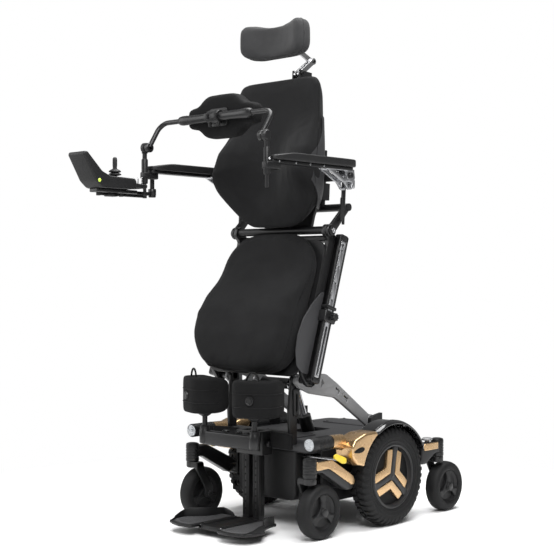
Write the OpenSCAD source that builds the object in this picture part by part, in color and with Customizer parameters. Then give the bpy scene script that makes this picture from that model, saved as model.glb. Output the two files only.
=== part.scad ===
// Standing power wheelchair, shown with the occupant space raised to standing.
// +X is the occupant's left, -Y is forward, +Z is up. Lengths are in millimetres.
// Places are measured from the floor below the middle of the drive axle, then moved by frame_y.

/* [Drive wheels] */
// Outer diameter of a drive tyre
wheel_d = 350; // [336:1:356]
// Width of a drive tyre
tyre_w = 76; // [66:1:80]
// Distance from the centre plane to the middle of a drive tyre
wheel_x = 302; // [300:1:308]
// Height of a drive tyre's section, from the rim to the tread
tyre_h = 61; // [55:1:68]
// Radius of the drive axle shaft
axle_r = 12.5; // [10:0.5:15]
// Width of one rim arm
rim_arm_w = 28; // [22:1:32]

/* [Casters] */
// Outer diameter of a caster wheel
caster_d = 184; // [176:1:186]
// Width of a caster wheel
caster_w = 55; // [44:1:57]
// Distance from swivel axis to caster axle
caster_trail = 45; // [35:1:48]
// Distance from the centre plane to a front swivel axis
front_stem_x = 284; // [282:1:290]
// Front swivel axis, forward of the drive axle
front_stem_y = 395; // [390:1:402]
// Distance from the centre plane to a rear swivel axis
rear_stem_x = 293; // [286:1:298]
// Rear swivel axis, behind the drive axle
rear_stem_y = 318; // [316:1:330]
// Radius of a swivel stem
stem_r = 11; // [9:0.5:13]
// Radius of a caster axle
caster_axle_r = 8; // [6:0.5:10]
// Thickness of a fork leg
fork_t = 10; // [7:0.5:12]

/* [Suspension] */
// Pivot of each arm, ahead of or behind the drive axle
arm_pivot_y = 118; // [112:1:124]
// Height of the arm pivots
arm_pivot_z = 165; // [160:1:170]
// Radius of the arm pivot pins
arm_pin_r = 14; // [11:0.5:16]
// Thickness of an arm beside the drive wheel
arm_t = 26; // [20:1:28]

/* [Base] */
// Half width of the base deck
deck_half_w = 205; // [200:1:205]
// Height of the deck top
deck_z = 318; // [314:1:324]
// Wall of the base shroud
shroud_wall = 5; // [3:0.5:7]
// Gap from a drive tyre to its fender
fender_gap = 9; // [7:1:12]
// Thickness of a fender
fender_t = 12; // [8:1:14]
// Radius of a headlight
lamp_r = 24; // [20:1:26]
// Length of a headlight body
lamp_l = 101; // [85:1:108]
// Hole radius of a tie-down eye
eye_r = 13; // [10:0.5:15]

/* [Lift] */
// Rear lift pivot, behind the drive axle
lift_y = 73; // [71:1:75]
// Height of the rear lift pivot
lift_z = 351; // [349:1:353]
// Radius of the lift and knee pins
lift_pin_r = 12; // [10:0.5:14]
// Inner face of a lift plate
lift_x = 158; // [156:1:160]
// Thickness of a lift plate
lift_t = 14; // [10:1:16]
// Radius of the lift cross tube
cross_r = 20; // [16:1:22]
// Stroke rod radius of the lift actuator
rod_r = 11; // [8:0.5:13]

/* [Seat] */
// Knee pivot, forward of the drive axle
knee_y = 318; // [316:1:320]
// Height of the knee pivot
knee_z = 525; // [522:1:528]
// Lean of the raised seat from upright
seat_lean = 17.6; // [15:0.1:20]
// Length of a seat rail
rail_l = 528; // [510:1:534]
// Width of a seat rail
rail_w = 28; // [22:1:30]
// Depth of a seat rail
rail_d = 44; // [36:1:46]
// Radius of the accessory holes in the rails
rail_hole_r = 4.25; // [3:0.25:5]
// Distance between accessory holes
rail_pitch = 60; // [50:1:62]
// Length of the seat cushion
seat_l = 500; // [480:1:504]
// Width of the seat cushion
seat_w = 444; // [420:1:448]
// Seat cushion thickness at the hip
seat_t_hip = 50; // [46:1:54]
// Seat cushion thickness at the knee
seat_t_knee = 104; // [96:1:106]

/* [Back] */
// Hip pivot, forward of the drive axle
hip_y = 225; // [223:1:227]
// Height of the hip pivot
hip_z = 1040; // [1037:1:1043]
// Lean of the back from upright
back_lean = 3.7; // [3:0.1:4.4]
// Height of the back cushion
back_l = 536; // [520:1:540]
// Greatest width of the back cushion
back_w = 424; // [400:1:430]
// Thickness of the back cushion at its top
back_t = 94; // [88:1:97]
// How far the lumbar side bolsters stand forward of the rest
bolster_t = 98; // [80:1:102]
// Thickness of the back shell
shell_t = 12; // [8:1:13]
// Radius of the back guide rods
guide_r = 11; // [9:0.5:12]

/* [Headrest] */
// Width of the headrest pad
head_w = 288; // [260:1:300]
// Height of the headrest pad at its wings
head_h = 168; // [150:1:172]
// Thickness of the headrest pad
head_t = 62; // [50:1:66]
// Width of the headrest links
head_link_w = 24; // [18:1:28]

/* [Arms] */
// Distance from the centre plane to an armrest
arm_x = 290; // [288:1:292]
// Length of an arm pad
arm_pad_l = 420; // [390:1:424]
// Width of an arm pad
arm_pad_w = 66; // [56:1:70]
// Thickness of an arm pad
arm_pad_t = 33; // [26:1:36]
// Radius of the armrest pivot pins
arm_hinge_r = 10; // [8:0.5:11]
// Radius of the chest bar tube
bar_r = 10; // [8:0.5:11]
// Radius of the thick middle of the chest bar
bar_mid_r = 15; // [13:0.5:16]
// Width of the chest pad
chest_w = 340; // [300:1:350]
// Height of the chest pad
chest_h = 168; // [150:1:174]
// Thickness of the chest pad
chest_t = 46; // [36:1:50]

/* [Control] */
// Width of the control panel
panel_w = 88; // [76:1:90]
// Forward tip of the control panel, ahead of the drive axle
panel_tip_y = 945; // [935:1:950]
// Radius of the joystick bowl
bowl_r = 25; // [24:0.5:28]
// Radius of the control swing pin
swing_r = 8; // [6:0.5:9]

/* [Leg support] */
// Width of one column tube
tube_w = 34; // [30:1:36]
// Depth of a column tube
tube_d = 40; // [36:1:42]
// Height of the column tops
column_top = 340; // [335:1:343]
// Top of the footplates
foot_z = 38; // [37:0.5:40]
// Length of a footplate
foot_l = 228; // [216:1:232]
// Outer edge of the footplates from the centre plane
foot_x = 195; // [185:1:198]
// Radius of the footplate hinge rods
foot_hinge_r = 6; // [5:0.5:7]
// Radius of the knee bracket posts
knee_post_r = 9; // [7:0.5:10]
// Width of a knee pad
knee_pad_w = 164; // [150:1:166]
// Height of a knee pad
knee_pad_h = 124; // [110:1:125]

/* [Fits] */
// Radial running clearance of pins and shafts
run = 0.06; // [0.03:0.01:0.1]
// Gap between pieces that only rest on each other
seat_gap = 0.3; // [0.2:0.05:0.5]

/* [Hidden] */
$fn = 64;
axle_z = wheel_d / 2;
caster_z = caster_d / 2;
frame_y = (panel_tip_y - rear_stem_y - caster_trail - caster_d / 2) / 2;

// Drive wheel sections, measured along the axle from the tyre's middle
rim_r = wheel_d / 2 - tyre_h;
barrel_half = 32;
barrel_t = 10;
disc_face = 14;
disc_t = 10;
arm_face = 26;
hub_r = 34;
cap_face = 32;
cap_r = 22;
insert_t = 6;
insert_w = 23;
spoke_turn = 18;

// Caster sections
crown_t = 21;
crown_z = caster_d + 4;
crown_top = crown_z + crown_t;
housing_r = 24;
housing_z = crown_top + seat_gap;
housing_top = 276;
stem_top = 266;
housing_cap = 6;
leg_gap = 4;
sweep_r = 150;
link_h = 35;

// Base sections
rail_x0 = 122;
rail_x1 = 150;
frame_z0 = 105;
frame_z1 = 165;
frame_front = -255;
frame_rear = 245;
floor_t = 5;
post_r = 10;
nose_x = 138;
nose_rear = -240;
deck_front = -305;
deck_rear = 285;
deck_skirt = 270;
deck_corner_r = 40;
nose_z0 = 98;
nose_step = -257;
skirt_t = 3;
skirt_front = -246;
skirt_rear = -62;
skirt_z0 = 95;
battery_half_w = 110;
battery_top = 200;
motor_x = 167;
motor_lift = 60;
motor_r = 30;
motor_front = -150;
motor_rear = 42;
eye_x = 140;
eye_t = 12;
eye_l = 42;
eye_reach = 35;
arm_in_x = 222;
pin_end_x = arm_in_x + arm_t + 2;
gear_r = 58;
gear_end_x = 250;
tower_x0 = lift_x + lift_t + 4;
tower_t = 14;
fender_x0 = 256;
fender_x1 = wheel_x + tyre_w / 2 + 4;
fender_r0 = wheel_d / 2 + fender_gap;
fender_r1 = fender_r0 + fender_t;
fender_a0 = 25;
fender_a1 = 123;
cover_r0 = fender_r0 + 2;
cover_front = -wheel_d / 2 - 68;
cover_low = axle_z + 71;
cover_top = axle_z + 179;
neck_l = 54;
neck_front = cover_front - neck_l;
bridge_z = 300;
lamp_x = 285;
lamp_z = axle_z + 145;
lever_y = -256;
lever_z = 255;
lever_r = 5;
lever_x0 = 312;
lever_t = 8;

// Lift actuator, from its foot pivot to the lift cross tube
foot_y = -40;
foot_pivot_z = 215;
cross_y = -150;
cross_z = 490;
act_len = norm([cross_y - foot_y, cross_z - foot_pivot_z]);
act_lean = atan2(foot_y - cross_y, cross_z - foot_pivot_z);
act_tube_r = 24;
act_tube_l = 170;
act_foot_r = 8;
act_eye_gap = 2.5;
act_eye_t = 9;
act_half_w = 26;

// Seat sections, measured from the knee pivot along the seat (s) and forward of it (n)
web_x0 = 206;
web_x1 = 222;
rail_n0 = -14;
rail_s0 = -8;
pan_n = 58;
pan_t = 8;
hip_s = (knee_y - hip_y) * sin(seat_lean) + (hip_z - knee_z) * cos(seat_lean);
hip_n = (hip_y - knee_y) * cos(seat_lean) + (hip_z - knee_z) * sin(seat_lean);
hip_pin_r = 10;
hip_boss_r = 24;
hip_x0 = web_x1 + 2;
hip_t = 12;
knee_in_x = 140;
knee_plate_t = 12;
cushion_n = pan_n + pan_t + seat_gap;
seat_mid = 240;
slot_n = 8;
slot_d = 4;
slot_w = 12;
clamp_s = 205;
clamp_l = 40;

// Back sections, measured from the hip pivot up the back and rearward of it
shell_y = 30;
shell_inset = 58;
shell_bottom = 12;
shell_top = 560;
guide_x = 110;
guide_y = 88;
guide_z0 = 90;
guide_l = 210;
sleeve_z = 120;
sleeve_l = 60;
sleeve_w = 36;
tie_r = 14;
arm_pivot_back = [12.8, 189.2];
arm_plate_x = 244;
arm_plate_t = 12;

// Armrest places, from the floor and the drive axle
arm_axis_y = -200;
arm_axis_z = 1228;
pad_front = -600;
pad_z = 1256;
post_y = -615;
post_x = 295;
post_tube_r = 9;
post_bottom = 1165;
knob_z = 1332;
knob_r = 14;
bar_pin_r = 6;
bar_corner = [272, -558, 1421];
bar_eye_x = 267;
bar_eye_t = 13;
ring_r = 22;
ring_half = 28;
swing_x = 318;
swing_y = -560;
swing_z0 = 1168;
swing_bar_t = 12;
panel_x = 295;
panel_z = swing_z0 + swing_bar_t;
stick_y = -750;
stick_z = 1213;
gimbal_r = 19;
gimbal_in_r = 12;
gimbal_h = 10;
gimbal_pin_r = 3;
stick_pin_r = 2.5;

// Headrest link pivots
head_p1 = [-135, 1618];
head_p2 = [-62, 1672];
head_p3 = [-192, 1726];
head_pin_r = 5;
head_ear_t = 6;
head_boss_r = 12;
head_plate_y = -220;
head_mid_z = 1726;

// Leg support places
tube_x = 20;
tube_y0 = -385;
sleeve_wall = 8;
leg_sleeve_z0 = 262;
leg_sleeve_z1 = 345;
socket_x = 120;
socket_y = -490;
socket_r = 17;
socket_z0 = 300;
socket_top = 362;
beam_half_t = 14;
stalk_half_w = 45;
foot_t = 10;
foot_hinge_x = 50;
foot_rear = -392;
foot_lug_l = 14;
foot_knuckle_r = 11;
foot_hinge_z = foot_z - 6;
foot_wall = 8;
foot_wall_h = 46;
foot_wall_slope = atan((foot_wall_h - 8) / foot_l);
knee_pad_x = 120;
knee_pad_y = -467;
knee_pad_z0 = 408;
knee_pad_turn = 22;
cup_front = 86;
cup_rear = 62;
cup_mid = 46;
knee_flange_r = 15;
knee_flange_t = 12;
knee_drop = 30;
calf_x0 = 70;
calf_x1 = 190;
calf_y = tube_y0 + tube_d - 12;
calf_z0 = 292;
calf_h = 52;
calf_curve = 22;
calf_half_t = 10;

black = [0.09, 0.09, 0.10];
charcoal = [0.17, 0.17, 0.18];
grey = [0.42, 0.43, 0.45];
silver = [0.72, 0.73, 0.75];
gold = [0.62, 0.52, 0.36];
yellow = [0.90, 0.74, 0.15];

// Moves the axle frame to the middle of the whole chair
module place() {
  translate([0, frame_y, 0]) children();
}

// Draws the left side as it is, or its mirror image on the right
module side(s) {
  place() mirror([s < 0 ? 1 : 0, 0, 0]) children();
}

module both() {
  children();
  mirror([1, 0, 0]) children();
}

// Extrudes an outline in Y and Z across the chair
module across(x0, x1) {
  translate([x0, 0, 0]) rotate([90, 0, 90]) linear_extrude(x1 - x0) children();
}

module xrod(y, z, r, x0, x1) {
  translate([x0, y, z]) rotate([0, 90, 0]) cylinder(r = r, h = x1 - x0);
}

module yrod(x, z, r, y0, y1) {
  translate([x, y1, z]) rotate([90, 0, 0]) cylinder(r = r, h = y1 - y0);
}

module zrod(x, y, r, z0, z1) {
  translate([x, y, z0]) cylinder(r = r, h = z1 - z0);
}

module box(x0, x1, y0, y1, z0, z1) {
  translate([x0, y0, z0]) cube([x1 - x0, y1 - y0, z1 - z0]);
}

// A rod between two points
module rod(a, b, r) {
  d = b - a;
  translate(a) rotate([0, acos(d[2] / norm(d)), atan2(d[1], d[0])]) cylinder(r = r, h = norm(d));
}

// A rectangle with round corners
module rounded(x0, x1, y0, y1, r) {
  translate([x0 + r, y0]) square([x1 - x0 - 2 * r, y1 - y0]);
  translate([x0, y0 + r]) square([x1 - x0, y1 - y0 - 2 * r]);
  for (x = [x0 + r, x1 - r], y = [y0 + r, y1 - r]) translate([x, y]) circle(r);
}

// Seat and back axes: z runs up the seat or back, y runs rearward
module seat_axes() {
  translate([0, -knee_y, knee_z]) rotate([-seat_lean, 0, 0]) children();
}

module back_axes() {
  translate([0, -hip_y, hip_z]) rotate([-back_lean, 0, 0]) children();
}

// Padded forms: rings of points joined by triangles, closed by a point at each end
ring_n = 44;
function power(v, e) = sign(v) * pow(abs(v), e);
function smooth(v) = let (t = min(1, max(0, v))) t * t * (3 - 2 * t);
function faces_between(n, rings) = [
  for (i = [0 : rings - 2], j = [0 : n - 1]) let (a = i * n + j, b = i * n + (j + 1) % n)
    each [[a, a + n, b + n], [a, b + n, b]]
];
function closing_faces(n, rings) = let (low = n * rings, high = low + 1) [
  for (j = [0 : n - 1]) let (k = (j + 1) % n)
    each [[low, j, k], [high, (rings - 1) * n + k, (rings - 1) * n + j]]
];
module padded(rings, low, high) {
  polyhedron(
    points = concat([for (r = rings) each r], [low, high]),
    faces = concat(faces_between(ring_n, len(rings)), closing_faces(ring_n, len(rings))),
    convexity = 6
  );
}
// Each layer of a pad: how wide its outline is and how high it lies, as shares
crown = [[0.93, 0.00], [0.985, 0.12], [1.00, 0.36], [1.00, 0.70], [0.985, 0.88], [0.93, 0.965], [0.70, 0.995]];

// Drive wheels
module tyre(s) {
  r0 = rim_r + run;
  r1 = wheel_d / 2;
  w = tyre_w / 2;
  color(black) side(s) translate([wheel_x, 0, axle_z]) rotate([0, 90, 0]) rotate_extrude()
    polygon([
      [r0, -w + 8], [r0 + 8, -w + 5], [r1 - 24, -w], [r1 - 9, -w + 8], [r1, -w + 22],
      [r1, w - 22], [r1 - 9, w - 8], [r1 - 24, w], [r0 + 8, w - 5], [r0, w - 8]
    ]);
}

module rim(s) {
  color(charcoal) side(s) translate([wheel_x, 0, axle_z]) difference() {
    union() {
      difference() {
        xrod(0, 0, rim_r, -barrel_half, barrel_half - 2);
        xrod(0, 0, rim_r - barrel_t, -barrel_half - 1, barrel_half);
      }
      xrod(0, 0, rim_r - barrel_t / 2, disc_face - disc_t, disc_face);
      xrod(0, 0, hub_r, -barrel_half, disc_face);
      for (a = [60 : 120 : 300]) rotate([a + spoke_turn, 0, 0])
        box(disc_face - 1, arm_face, 0, rim_r - barrel_t / 2, -rim_arm_w / 2, rim_arm_w / 2);
      xrod(0, 0, cap_r, disc_face - 1, cap_face);
    }
    xrod(0, 0, axle_r + run, -barrel_half - 1, arm_face - 2);
  }
}

// Point of an insert at a distance along the spoke beside it and a distance off that spoke's middle
function beside_spoke(along, off) = [along * cos(60) + off * sin(60), along * sin(60) - off * cos(60)];

module rim_inserts(s) {
  near = rim_arm_w / 2 + 1.5;
  far = near + insert_w;
  reach = rim_r - barrel_t - 12;
  tip_x = cap_r + 4;
  tip = beside_spoke((tip_x - near * sin(60)) / cos(60), near);
  half = [tip, beside_spoke(reach, near), beside_spoke(reach - 6, far)];
  color(gold) side(s) translate([wheel_x, 0, axle_z]) for (a = [0 : 120 : 240]) rotate([a + spoke_turn, 0, 0])
    across(disc_face, disc_face + insert_t)
      polygon(concat(half, [[far / sin(60), 0]], [for (i = [2 : -1 : 0]) [half[i][0], -half[i][1]]]));
}

// Casters, drawn round a swivel axis on the floor
module at_front(s) {
  side(s) translate([front_stem_x, -front_stem_y, 0]) children();
}

module at_rear(s) {
  side(s) translate([rear_stem_x, rear_stem_y, 0]) children();
}

module fork() {
  leg_x = -caster_w / 2 - leg_gap - fork_t;
  color(black) {
    zrod(0, 0, stem_r, crown_z, stem_top);
    zrod(0, 0, housing_r - 2, crown_z, crown_top);
    box(leg_x, stem_r, -18, 18, crown_z, crown_top);
    across(leg_x, leg_x + fork_t) polygon([
      [-18, crown_top], [-18, crown_z], [caster_trail - 20, caster_z + 20], [caster_trail - 18, caster_z - 14],
      [caster_trail + 18, caster_z - 14], [caster_trail + 20, caster_z + 20], [18, crown_top]
    ]);
    xrod(caster_trail, caster_z, caster_axle_r, leg_x, caster_w / 2 + 1);
    xrod(caster_trail, caster_z, caster_axle_r + 6, caster_w / 2 + 1, caster_w / 2 + 4);
  }
}

module caster_wheel() {
  w = caster_w / 2;
  r1 = caster_d / 2;
  bore = caster_axle_r + run;
  color(charcoal) translate([0, caster_trail, caster_z]) difference() {
    rotate([0, 90, 0]) rotate_extrude() polygon([
      [bore, -w + 1], [26, -w + 1], [28, -9], [58, -9], [62, -w + 3], [r1 - 16, -w], [r1 - 5, -w + 8],
      [r1, -w + 20], [r1, w - 20], [r1 - 5, w - 8], [r1 - 16, w], [62, w - 3], [58, 9], [28, 9],
      [26, w - 1], [bore, w - 1]
    ]);
    for (a = [30 : 120 : 270]) rotate([a, 0, 0]) xrod(43, 0, 12, -w, w);
  }
}

// Suspension arms: beside the wheel to its pivot, and outside to the swivel housing
// Its cross link starts at link_z, which on the rear arms is above a caster turned forward
module arm(stem_x, stem_y, link_z) {
  out_x0 = stem_x - 18;
  out_x1 = stem_x + 20;
  near = wheel_d / 2 + 15;
  far = near + 32;
  link_top = link_z + link_h;
  difference() {
    union() {
      across(out_x0, out_x1) polygon([
        [stem_y, housing_z + 12], [stem_y, housing_top - 14], [stem_y - 60, housing_top - 10],
        [near + 10, link_top + 15], [near, link_top + 5], [near, link_z],
        [far, link_z], [stem_y - 40, housing_z + 14]
      ]);
      box(arm_in_x, out_x1, near, far, link_z, link_top);
      across(arm_in_x, arm_in_x + arm_t) polygon([
        [arm_pivot_y, arm_pivot_z - 15], [arm_pivot_y + 30, arm_pivot_z - 15], [near - 5, link_z], [far, link_z],
        [far, link_top], [near - 20, link_top], [arm_pivot_y + 10, arm_pivot_z + 20], [arm_pivot_y, arm_pivot_z + 20]
      ]);
      xrod(arm_pivot_y, arm_pivot_z, arm_pin_r + 11, arm_in_x, arm_in_x + arm_t);
      zrod(stem_x, stem_y, housing_r, housing_z, housing_top);
      zrod(stem_x, stem_y, housing_r - housing_cap, housing_top - 1, housing_top + housing_cap);
    }
    xrod(arm_pivot_y, arm_pivot_z, arm_pin_r + run, arm_in_x - 1, arm_in_x + arm_t + 1);
    zrod(stem_x, stem_y, stem_r + run, housing_z - 1, stem_top + 2);
  }
}

module front_arm(s) {
  color(black) side(s) mirror([0, 1, 0]) arm(front_stem_x, front_stem_y, arm_pivot_z - 15);
}

module rear_arm(s) {
  color(black) side(s) arm(rear_stem_x, rear_stem_y, caster_d + 6);
}

// Base
module rear_eye() {
  top = frame_z1 - 5;
  y = frame_rear;
  difference() {
    box(eye_x, eye_x + eye_t, y, y + eye_l, frame_z0, top);
    xrod(y + eye_l / 2, (frame_z0 + top) / 2, eye_r, eye_x - 1, eye_x + eye_t + 1);
  }
}

// The front eyes face forward, clear of the casters
module front_eye() {
  top = frame_z1 - 5;
  y = frame_front - eye_reach;
  difference() {
    union() {
      box(eye_x, rail_x1, y, frame_front + 1, frame_z0, top);
      box(eye_x, eye_x + eye_l, y, y + eye_t, frame_z0, top);
    }
    yrod(eye_x + eye_l / 2, (frame_z0 + top) / 2, eye_r, y - 1, y + eye_t + 1);
  }
}

module chassis_frame() {
  color(black) place() {
    both() {
      box(rail_x0, rail_x1, frame_front, frame_rear, frame_z0, frame_z1);
      for (y = [-arm_pivot_y, arm_pivot_y]) xrod(y, arm_pivot_z, arm_pin_r, rail_x1 - 5, pin_end_x);
      for (y = [-arm_pivot_y, arm_pivot_y])
        xrod(y, arm_pivot_z, arm_pin_r + 8, rail_x1 - 5, arm_in_x - 0.5);
      for (y = [-arm_pivot_y, arm_pivot_y])
        box(rail_x0, rail_x1, y - 24, y + 24, frame_z1 - 5, arm_pivot_z + 24);
      for (y = [frame_front + 30, frame_rear - 20])
        zrod(rail_x0 + 14, y, post_r, frame_z1 - 5, deck_z - shroud_wall);
      front_eye();
      rear_eye();
      box(rail_x1 - 5, tower_x0 + tower_t, lift_y - 3, lift_y + 40, frame_z0 + 20, frame_z1);
      across(tower_x0, tower_x0 + tower_t) polygon([
        [lift_y - 7, frame_z0 + 20], [lift_y - 24, lift_z - 10], [lift_y - 24, lift_z + 14],
        [lift_y + 14, lift_z + 24], [lift_y + 44, lift_z + 28], [lift_y + 44, frame_z0 + 20]
      ]);
      xrod(lift_y, lift_z, lift_pin_r, lift_x - 6, tower_x0 + tower_t);
      across(act_half_w + 2, act_half_w + 12) polygon([
        [foot_y - 18, frame_z1 - 5], [foot_y - 16, foot_pivot_z + 16], [foot_y + 16, foot_pivot_z + 16],
        [foot_y + 18, frame_z1 - 5]
      ]);
    }
    for (y = [frame_front, frame_rear - 30])
      box(-rail_x0 - 1, rail_x0 + 1, y, y + 30, frame_z0, frame_z1 - 5);
    box(-rail_x0 - 1, rail_x0 + 1, foot_y - 20, foot_y + 20, frame_z0, frame_z1);
    box(-rail_x0 - 1, rail_x0 + 1, frame_front, frame_rear, frame_z0 - floor_t, frame_z0);
    xrod(foot_y, foot_pivot_z, act_foot_r, -act_half_w - 12, act_half_w + 12);
  }
}

module deck_outline(inset) {
  rounded(
    -deck_half_w + inset, deck_half_w - inset, deck_front + inset, deck_rear - inset, deck_corner_r - inset
  );
}

module base_shroud() {
  wall = shroud_wall;
  color(charcoal) place() difference() {
    union() {
      translate([0, 0, deck_skirt]) linear_extrude(deck_z - deck_skirt) deck_outline(0);
      box(-nose_x, nose_x, deck_front, nose_rear, frame_z1 + 7, deck_skirt + wall);
      box(-nose_x, nose_x, deck_front, nose_step, nose_z0, deck_skirt);
      box(-nose_x, nose_x, frame_rear + 2, deck_rear, nose_z0, deck_skirt + wall);
      both() box(deck_half_w - wall, deck_half_w + skirt_t, skirt_front, skirt_rear, skirt_z0, deck_skirt + wall);
    }
    both() xrod(-arm_pivot_y, arm_pivot_z, arm_pin_r + 9, deck_half_w - wall - 1, deck_half_w + skirt_t + 1);
    xrod(lever_y, lever_z, lever_r + run, -nose_x - 1, nose_x + 1);
    translate([0, 0, deck_skirt - 10]) linear_extrude(deck_z - deck_skirt + 10 - wall) deck_outline(wall);
    box(-nose_x + wall, nose_x - wall, deck_front + wall, nose_rear + 1, nose_z0 - 5, deck_skirt + 10);
    box(-nose_x + wall, nose_x - wall, frame_rear, deck_rear - wall, nose_z0 - 5, deck_skirt + 10);
    both() box(lift_x - 10, deck_half_w + 5, lift_y - 30, lift_y + 52, deck_skirt - 10, deck_z + 5);
    box(-act_half_w - 16, act_half_w + 16, -150, foot_y + 40, deck_skirt - 10, deck_z + 5);
  }
}

module batteries() {
  color(charcoal) place() {
    box(-battery_half_w, battery_half_w, frame_front + 40, foot_y - 26, frame_z0, battery_top);
    box(-battery_half_w, battery_half_w, foot_y + 26, frame_rear - 40, frame_z0, battery_top);
  }
}

module drive_motors() {
  color(grey) place() both() {
    xrod(0, axle_z, gear_r, rail_x1, gear_end_x);
    yrod(motor_x, axle_z + motor_lift, motor_r, motor_front, motor_rear);
    xrod(0, axle_z, axle_r, gear_end_x - 1, wheel_x + arm_face - 4);
  }
}

// Arc of a circle round the drive axle, as points in Y and Z
function wheel_arc(r, a0, a1, n) = [
  for (i = [0 : n]) let (a = a0 + (a1 - a0) * i / n) [r * cos(a), axle_z + r * sin(a)]
];

module fender(s) {
  color(charcoal) side(s) {
    intersection() {
      difference() {
        xrod(0, axle_z, fender_r1, fender_x0, fender_x1);
        xrod(0, axle_z, fender_r0, fender_x0 - 1, fender_x1 + 1);
      }
      across(fender_x0 - 1, fender_x1 + 1)
        polygon(concat([[0, axle_z]], wheel_arc(fender_r1 * 1.6, fender_a0, fender_a1, 8)));
    }
    intersection() {
      xrod(0, axle_z, fender_r1, fender_x0 - 2, fender_x0 + 4);
      box(fender_x0 - 3, fender_x0 + 5, -110, 160, bridge_z, bridge_z + 100);
    }
    box(deck_half_w, fender_x0, -85, 45, bridge_z, bridge_z + 12);
  }
}

module fender_cover(s) {
  tip = wheel_arc(fender_r1 + 3, fender_a1, fender_a1, 1)[0];
  color(gold) side(s) {
    across(fender_x0 + 6, fender_x1 + 1) polygon(concat(
      wheel_arc(cover_r0, fender_a1, 163, 14),
      [[cover_front + 10, cover_low], [cover_front, cover_low + 16], [cover_front, cover_top - 28],
       [cover_front + 18, cover_top - 11], [cover_front + 76, cover_top], tip]
    ));
    across(lamp_x - lamp_r + 1, lamp_x + lamp_r) polygon([
      [cover_front + 1, lamp_z - lamp_r - 8], [neck_front, lamp_z - lamp_r], [neck_front, lamp_z + lamp_r - 2],
      [cover_front + 1, lamp_z + lamp_r]
    ]);
  }
}

module headlight_bodies() {
  color(black) place() both()
    yrod(lamp_x, lamp_z, lamp_r, neck_front - lamp_l, neck_front);
}

module headlight_lenses() {
  front = neck_front - lamp_l;
  color([0.93, 0.95, 0.97]) place() both() translate([lamp_x, front, lamp_z]) rotate([90, 0, 0])
    rotate_extrude() polygon([[0, 0], [lamp_r - 3, 0], [lamp_r - 4, 4], [lamp_r - 10, 8], [0, 10]]);
}

// Both drive release levers turn on one shaft behind the nose
module release_levers() {
  color(yellow) place() {
    xrod(lever_y, lever_z, lever_r, -lever_x0 - lever_t, lever_x0 + lever_t);
    both() across(lever_x0, lever_x0 + lever_t) polygon([
      [lever_y + 9, lever_z - 8], [lever_y + 8, lever_z + 9], [lever_y - 40, lever_z + 28],
      [lever_y - 52, lever_z + 24], [lever_y - 50, lever_z + 14], [lever_y - 8, lever_z - 9]
    ]);
  }
}

// Lift arm and its actuator
module lift_arm() {
  color(grey) place() {
    both() {
      difference() {
        union() {
          across(lift_x, lift_x + lift_t) difference() {
            polygon([
              [lift_y + 24, lift_z - 6], [lift_y + 14, lift_z + 21], [lift_y - 13, lift_z + 27], [-116, 500],
              [-178, 538], [-knee_y + 18, knee_z + 22], [-knee_y - 20, knee_z + 15], [-knee_y - 25, knee_z - 10],
              [-knee_y - 4, knee_z - 27], [-264, 474], [-129, 450], [lift_y - 13, lift_z - 23],
              [lift_y + 12, lift_z - 24]
            ]);
            polygon([[-188, 478], [-196, 518], [-278, 520], [-262, 492]]);
          }
          xrod(-knee_y, knee_z, lift_pin_r, knee_in_x - 2, web_x1 + 1);
        }
        xrod(lift_y, lift_z, lift_pin_r + run, lift_x - 1, lift_x + lift_t + 1);
      }
    }
    xrod(cross_y, cross_z, cross_r, -lift_x - 1, lift_x + 1);
  }
}

module act_axes() {
  place() translate([0, foot_y, foot_pivot_z]) rotate([act_lean, 0, 0]) children();
}

module lift_actuator_tube() {
  color(charcoal) act_axes() difference() {
    union() {
      xrod(0, 0, act_tube_r - 4, -act_half_w, act_half_w);
      zrod(0, 0, act_tube_r, 10, act_tube_l);
    }
    xrod(0, 0, act_foot_r + run, -act_half_w - 1, act_half_w + 1);
    zrod(0, 0, rod_r + run, 40, act_tube_l + 1);
  }
}

module lift_actuator_rod() {
  eye_in = cross_r + act_eye_gap;
  color(silver) act_axes() difference() {
    union() {
      zrod(0, 0, rod_r, 92, act_len - eye_in - act_eye_t / 2);
      xrod(0, act_len, eye_in + act_eye_t, -act_half_w / 2, act_half_w / 2);
    }
    xrod(0, act_len, eye_in, -act_half_w, act_half_w);
  }
}

// Leg support
module tube_outline(clear) {
  both() translate([tube_x - clear, tube_y0 - clear]) square([tube_w + 2 * clear, tube_d + 2 * clear]);
}

module leg_carrier() {
  x1 = tube_x + tube_w + sleeve_wall;
  y1 = tube_y0 + tube_d + sleeve_wall;
  color(black) place() {
    difference() {
      union() {
        both() {
          across(knee_in_x, knee_in_x + knee_plate_t) polygon([
            [-knee_y - 22, knee_z], [-knee_y - 14, knee_z + 17], [-knee_y + 14, knee_z + 17],
            [-knee_y + 22, knee_z], [-knee_y + 8, 420], [-knee_y + 8, socket_z0], [y1 - 8, socket_z0], [-352, 420]
          ]);
          zrod(socket_x, socket_y, socket_r, socket_z0, socket_top);
        }
        box(
          -socket_x, socket_x, socket_y - beam_half_t, socket_y + beam_half_t, socket_z0, leg_sleeve_z1
        );
        box(
          -stalk_half_w, stalk_half_w, socket_y, tube_y0 - sleeve_wall + 1, socket_z0, leg_sleeve_z1
        );
        box(-knee_in_x - 1, knee_in_x + 1, y1 - 4, -knee_y + 8, socket_z0, leg_sleeve_z1);
        difference() {
          box(-x1, x1, tube_y0 - sleeve_wall, y1, leg_sleeve_z0, leg_sleeve_z1);
          translate([0, 0, leg_sleeve_z0 - 1]) linear_extrude(leg_sleeve_z1 - leg_sleeve_z0 + 2)
            tube_outline(seat_gap);
        }
      }
      both() xrod(-knee_y, knee_z, lift_pin_r + run, knee_in_x - 1, knee_in_x + knee_plate_t + 1);
      both() zrod(socket_x, socket_y, knee_post_r + run, socket_z0 - 1, socket_top + 1);
    }
  }
}

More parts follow.
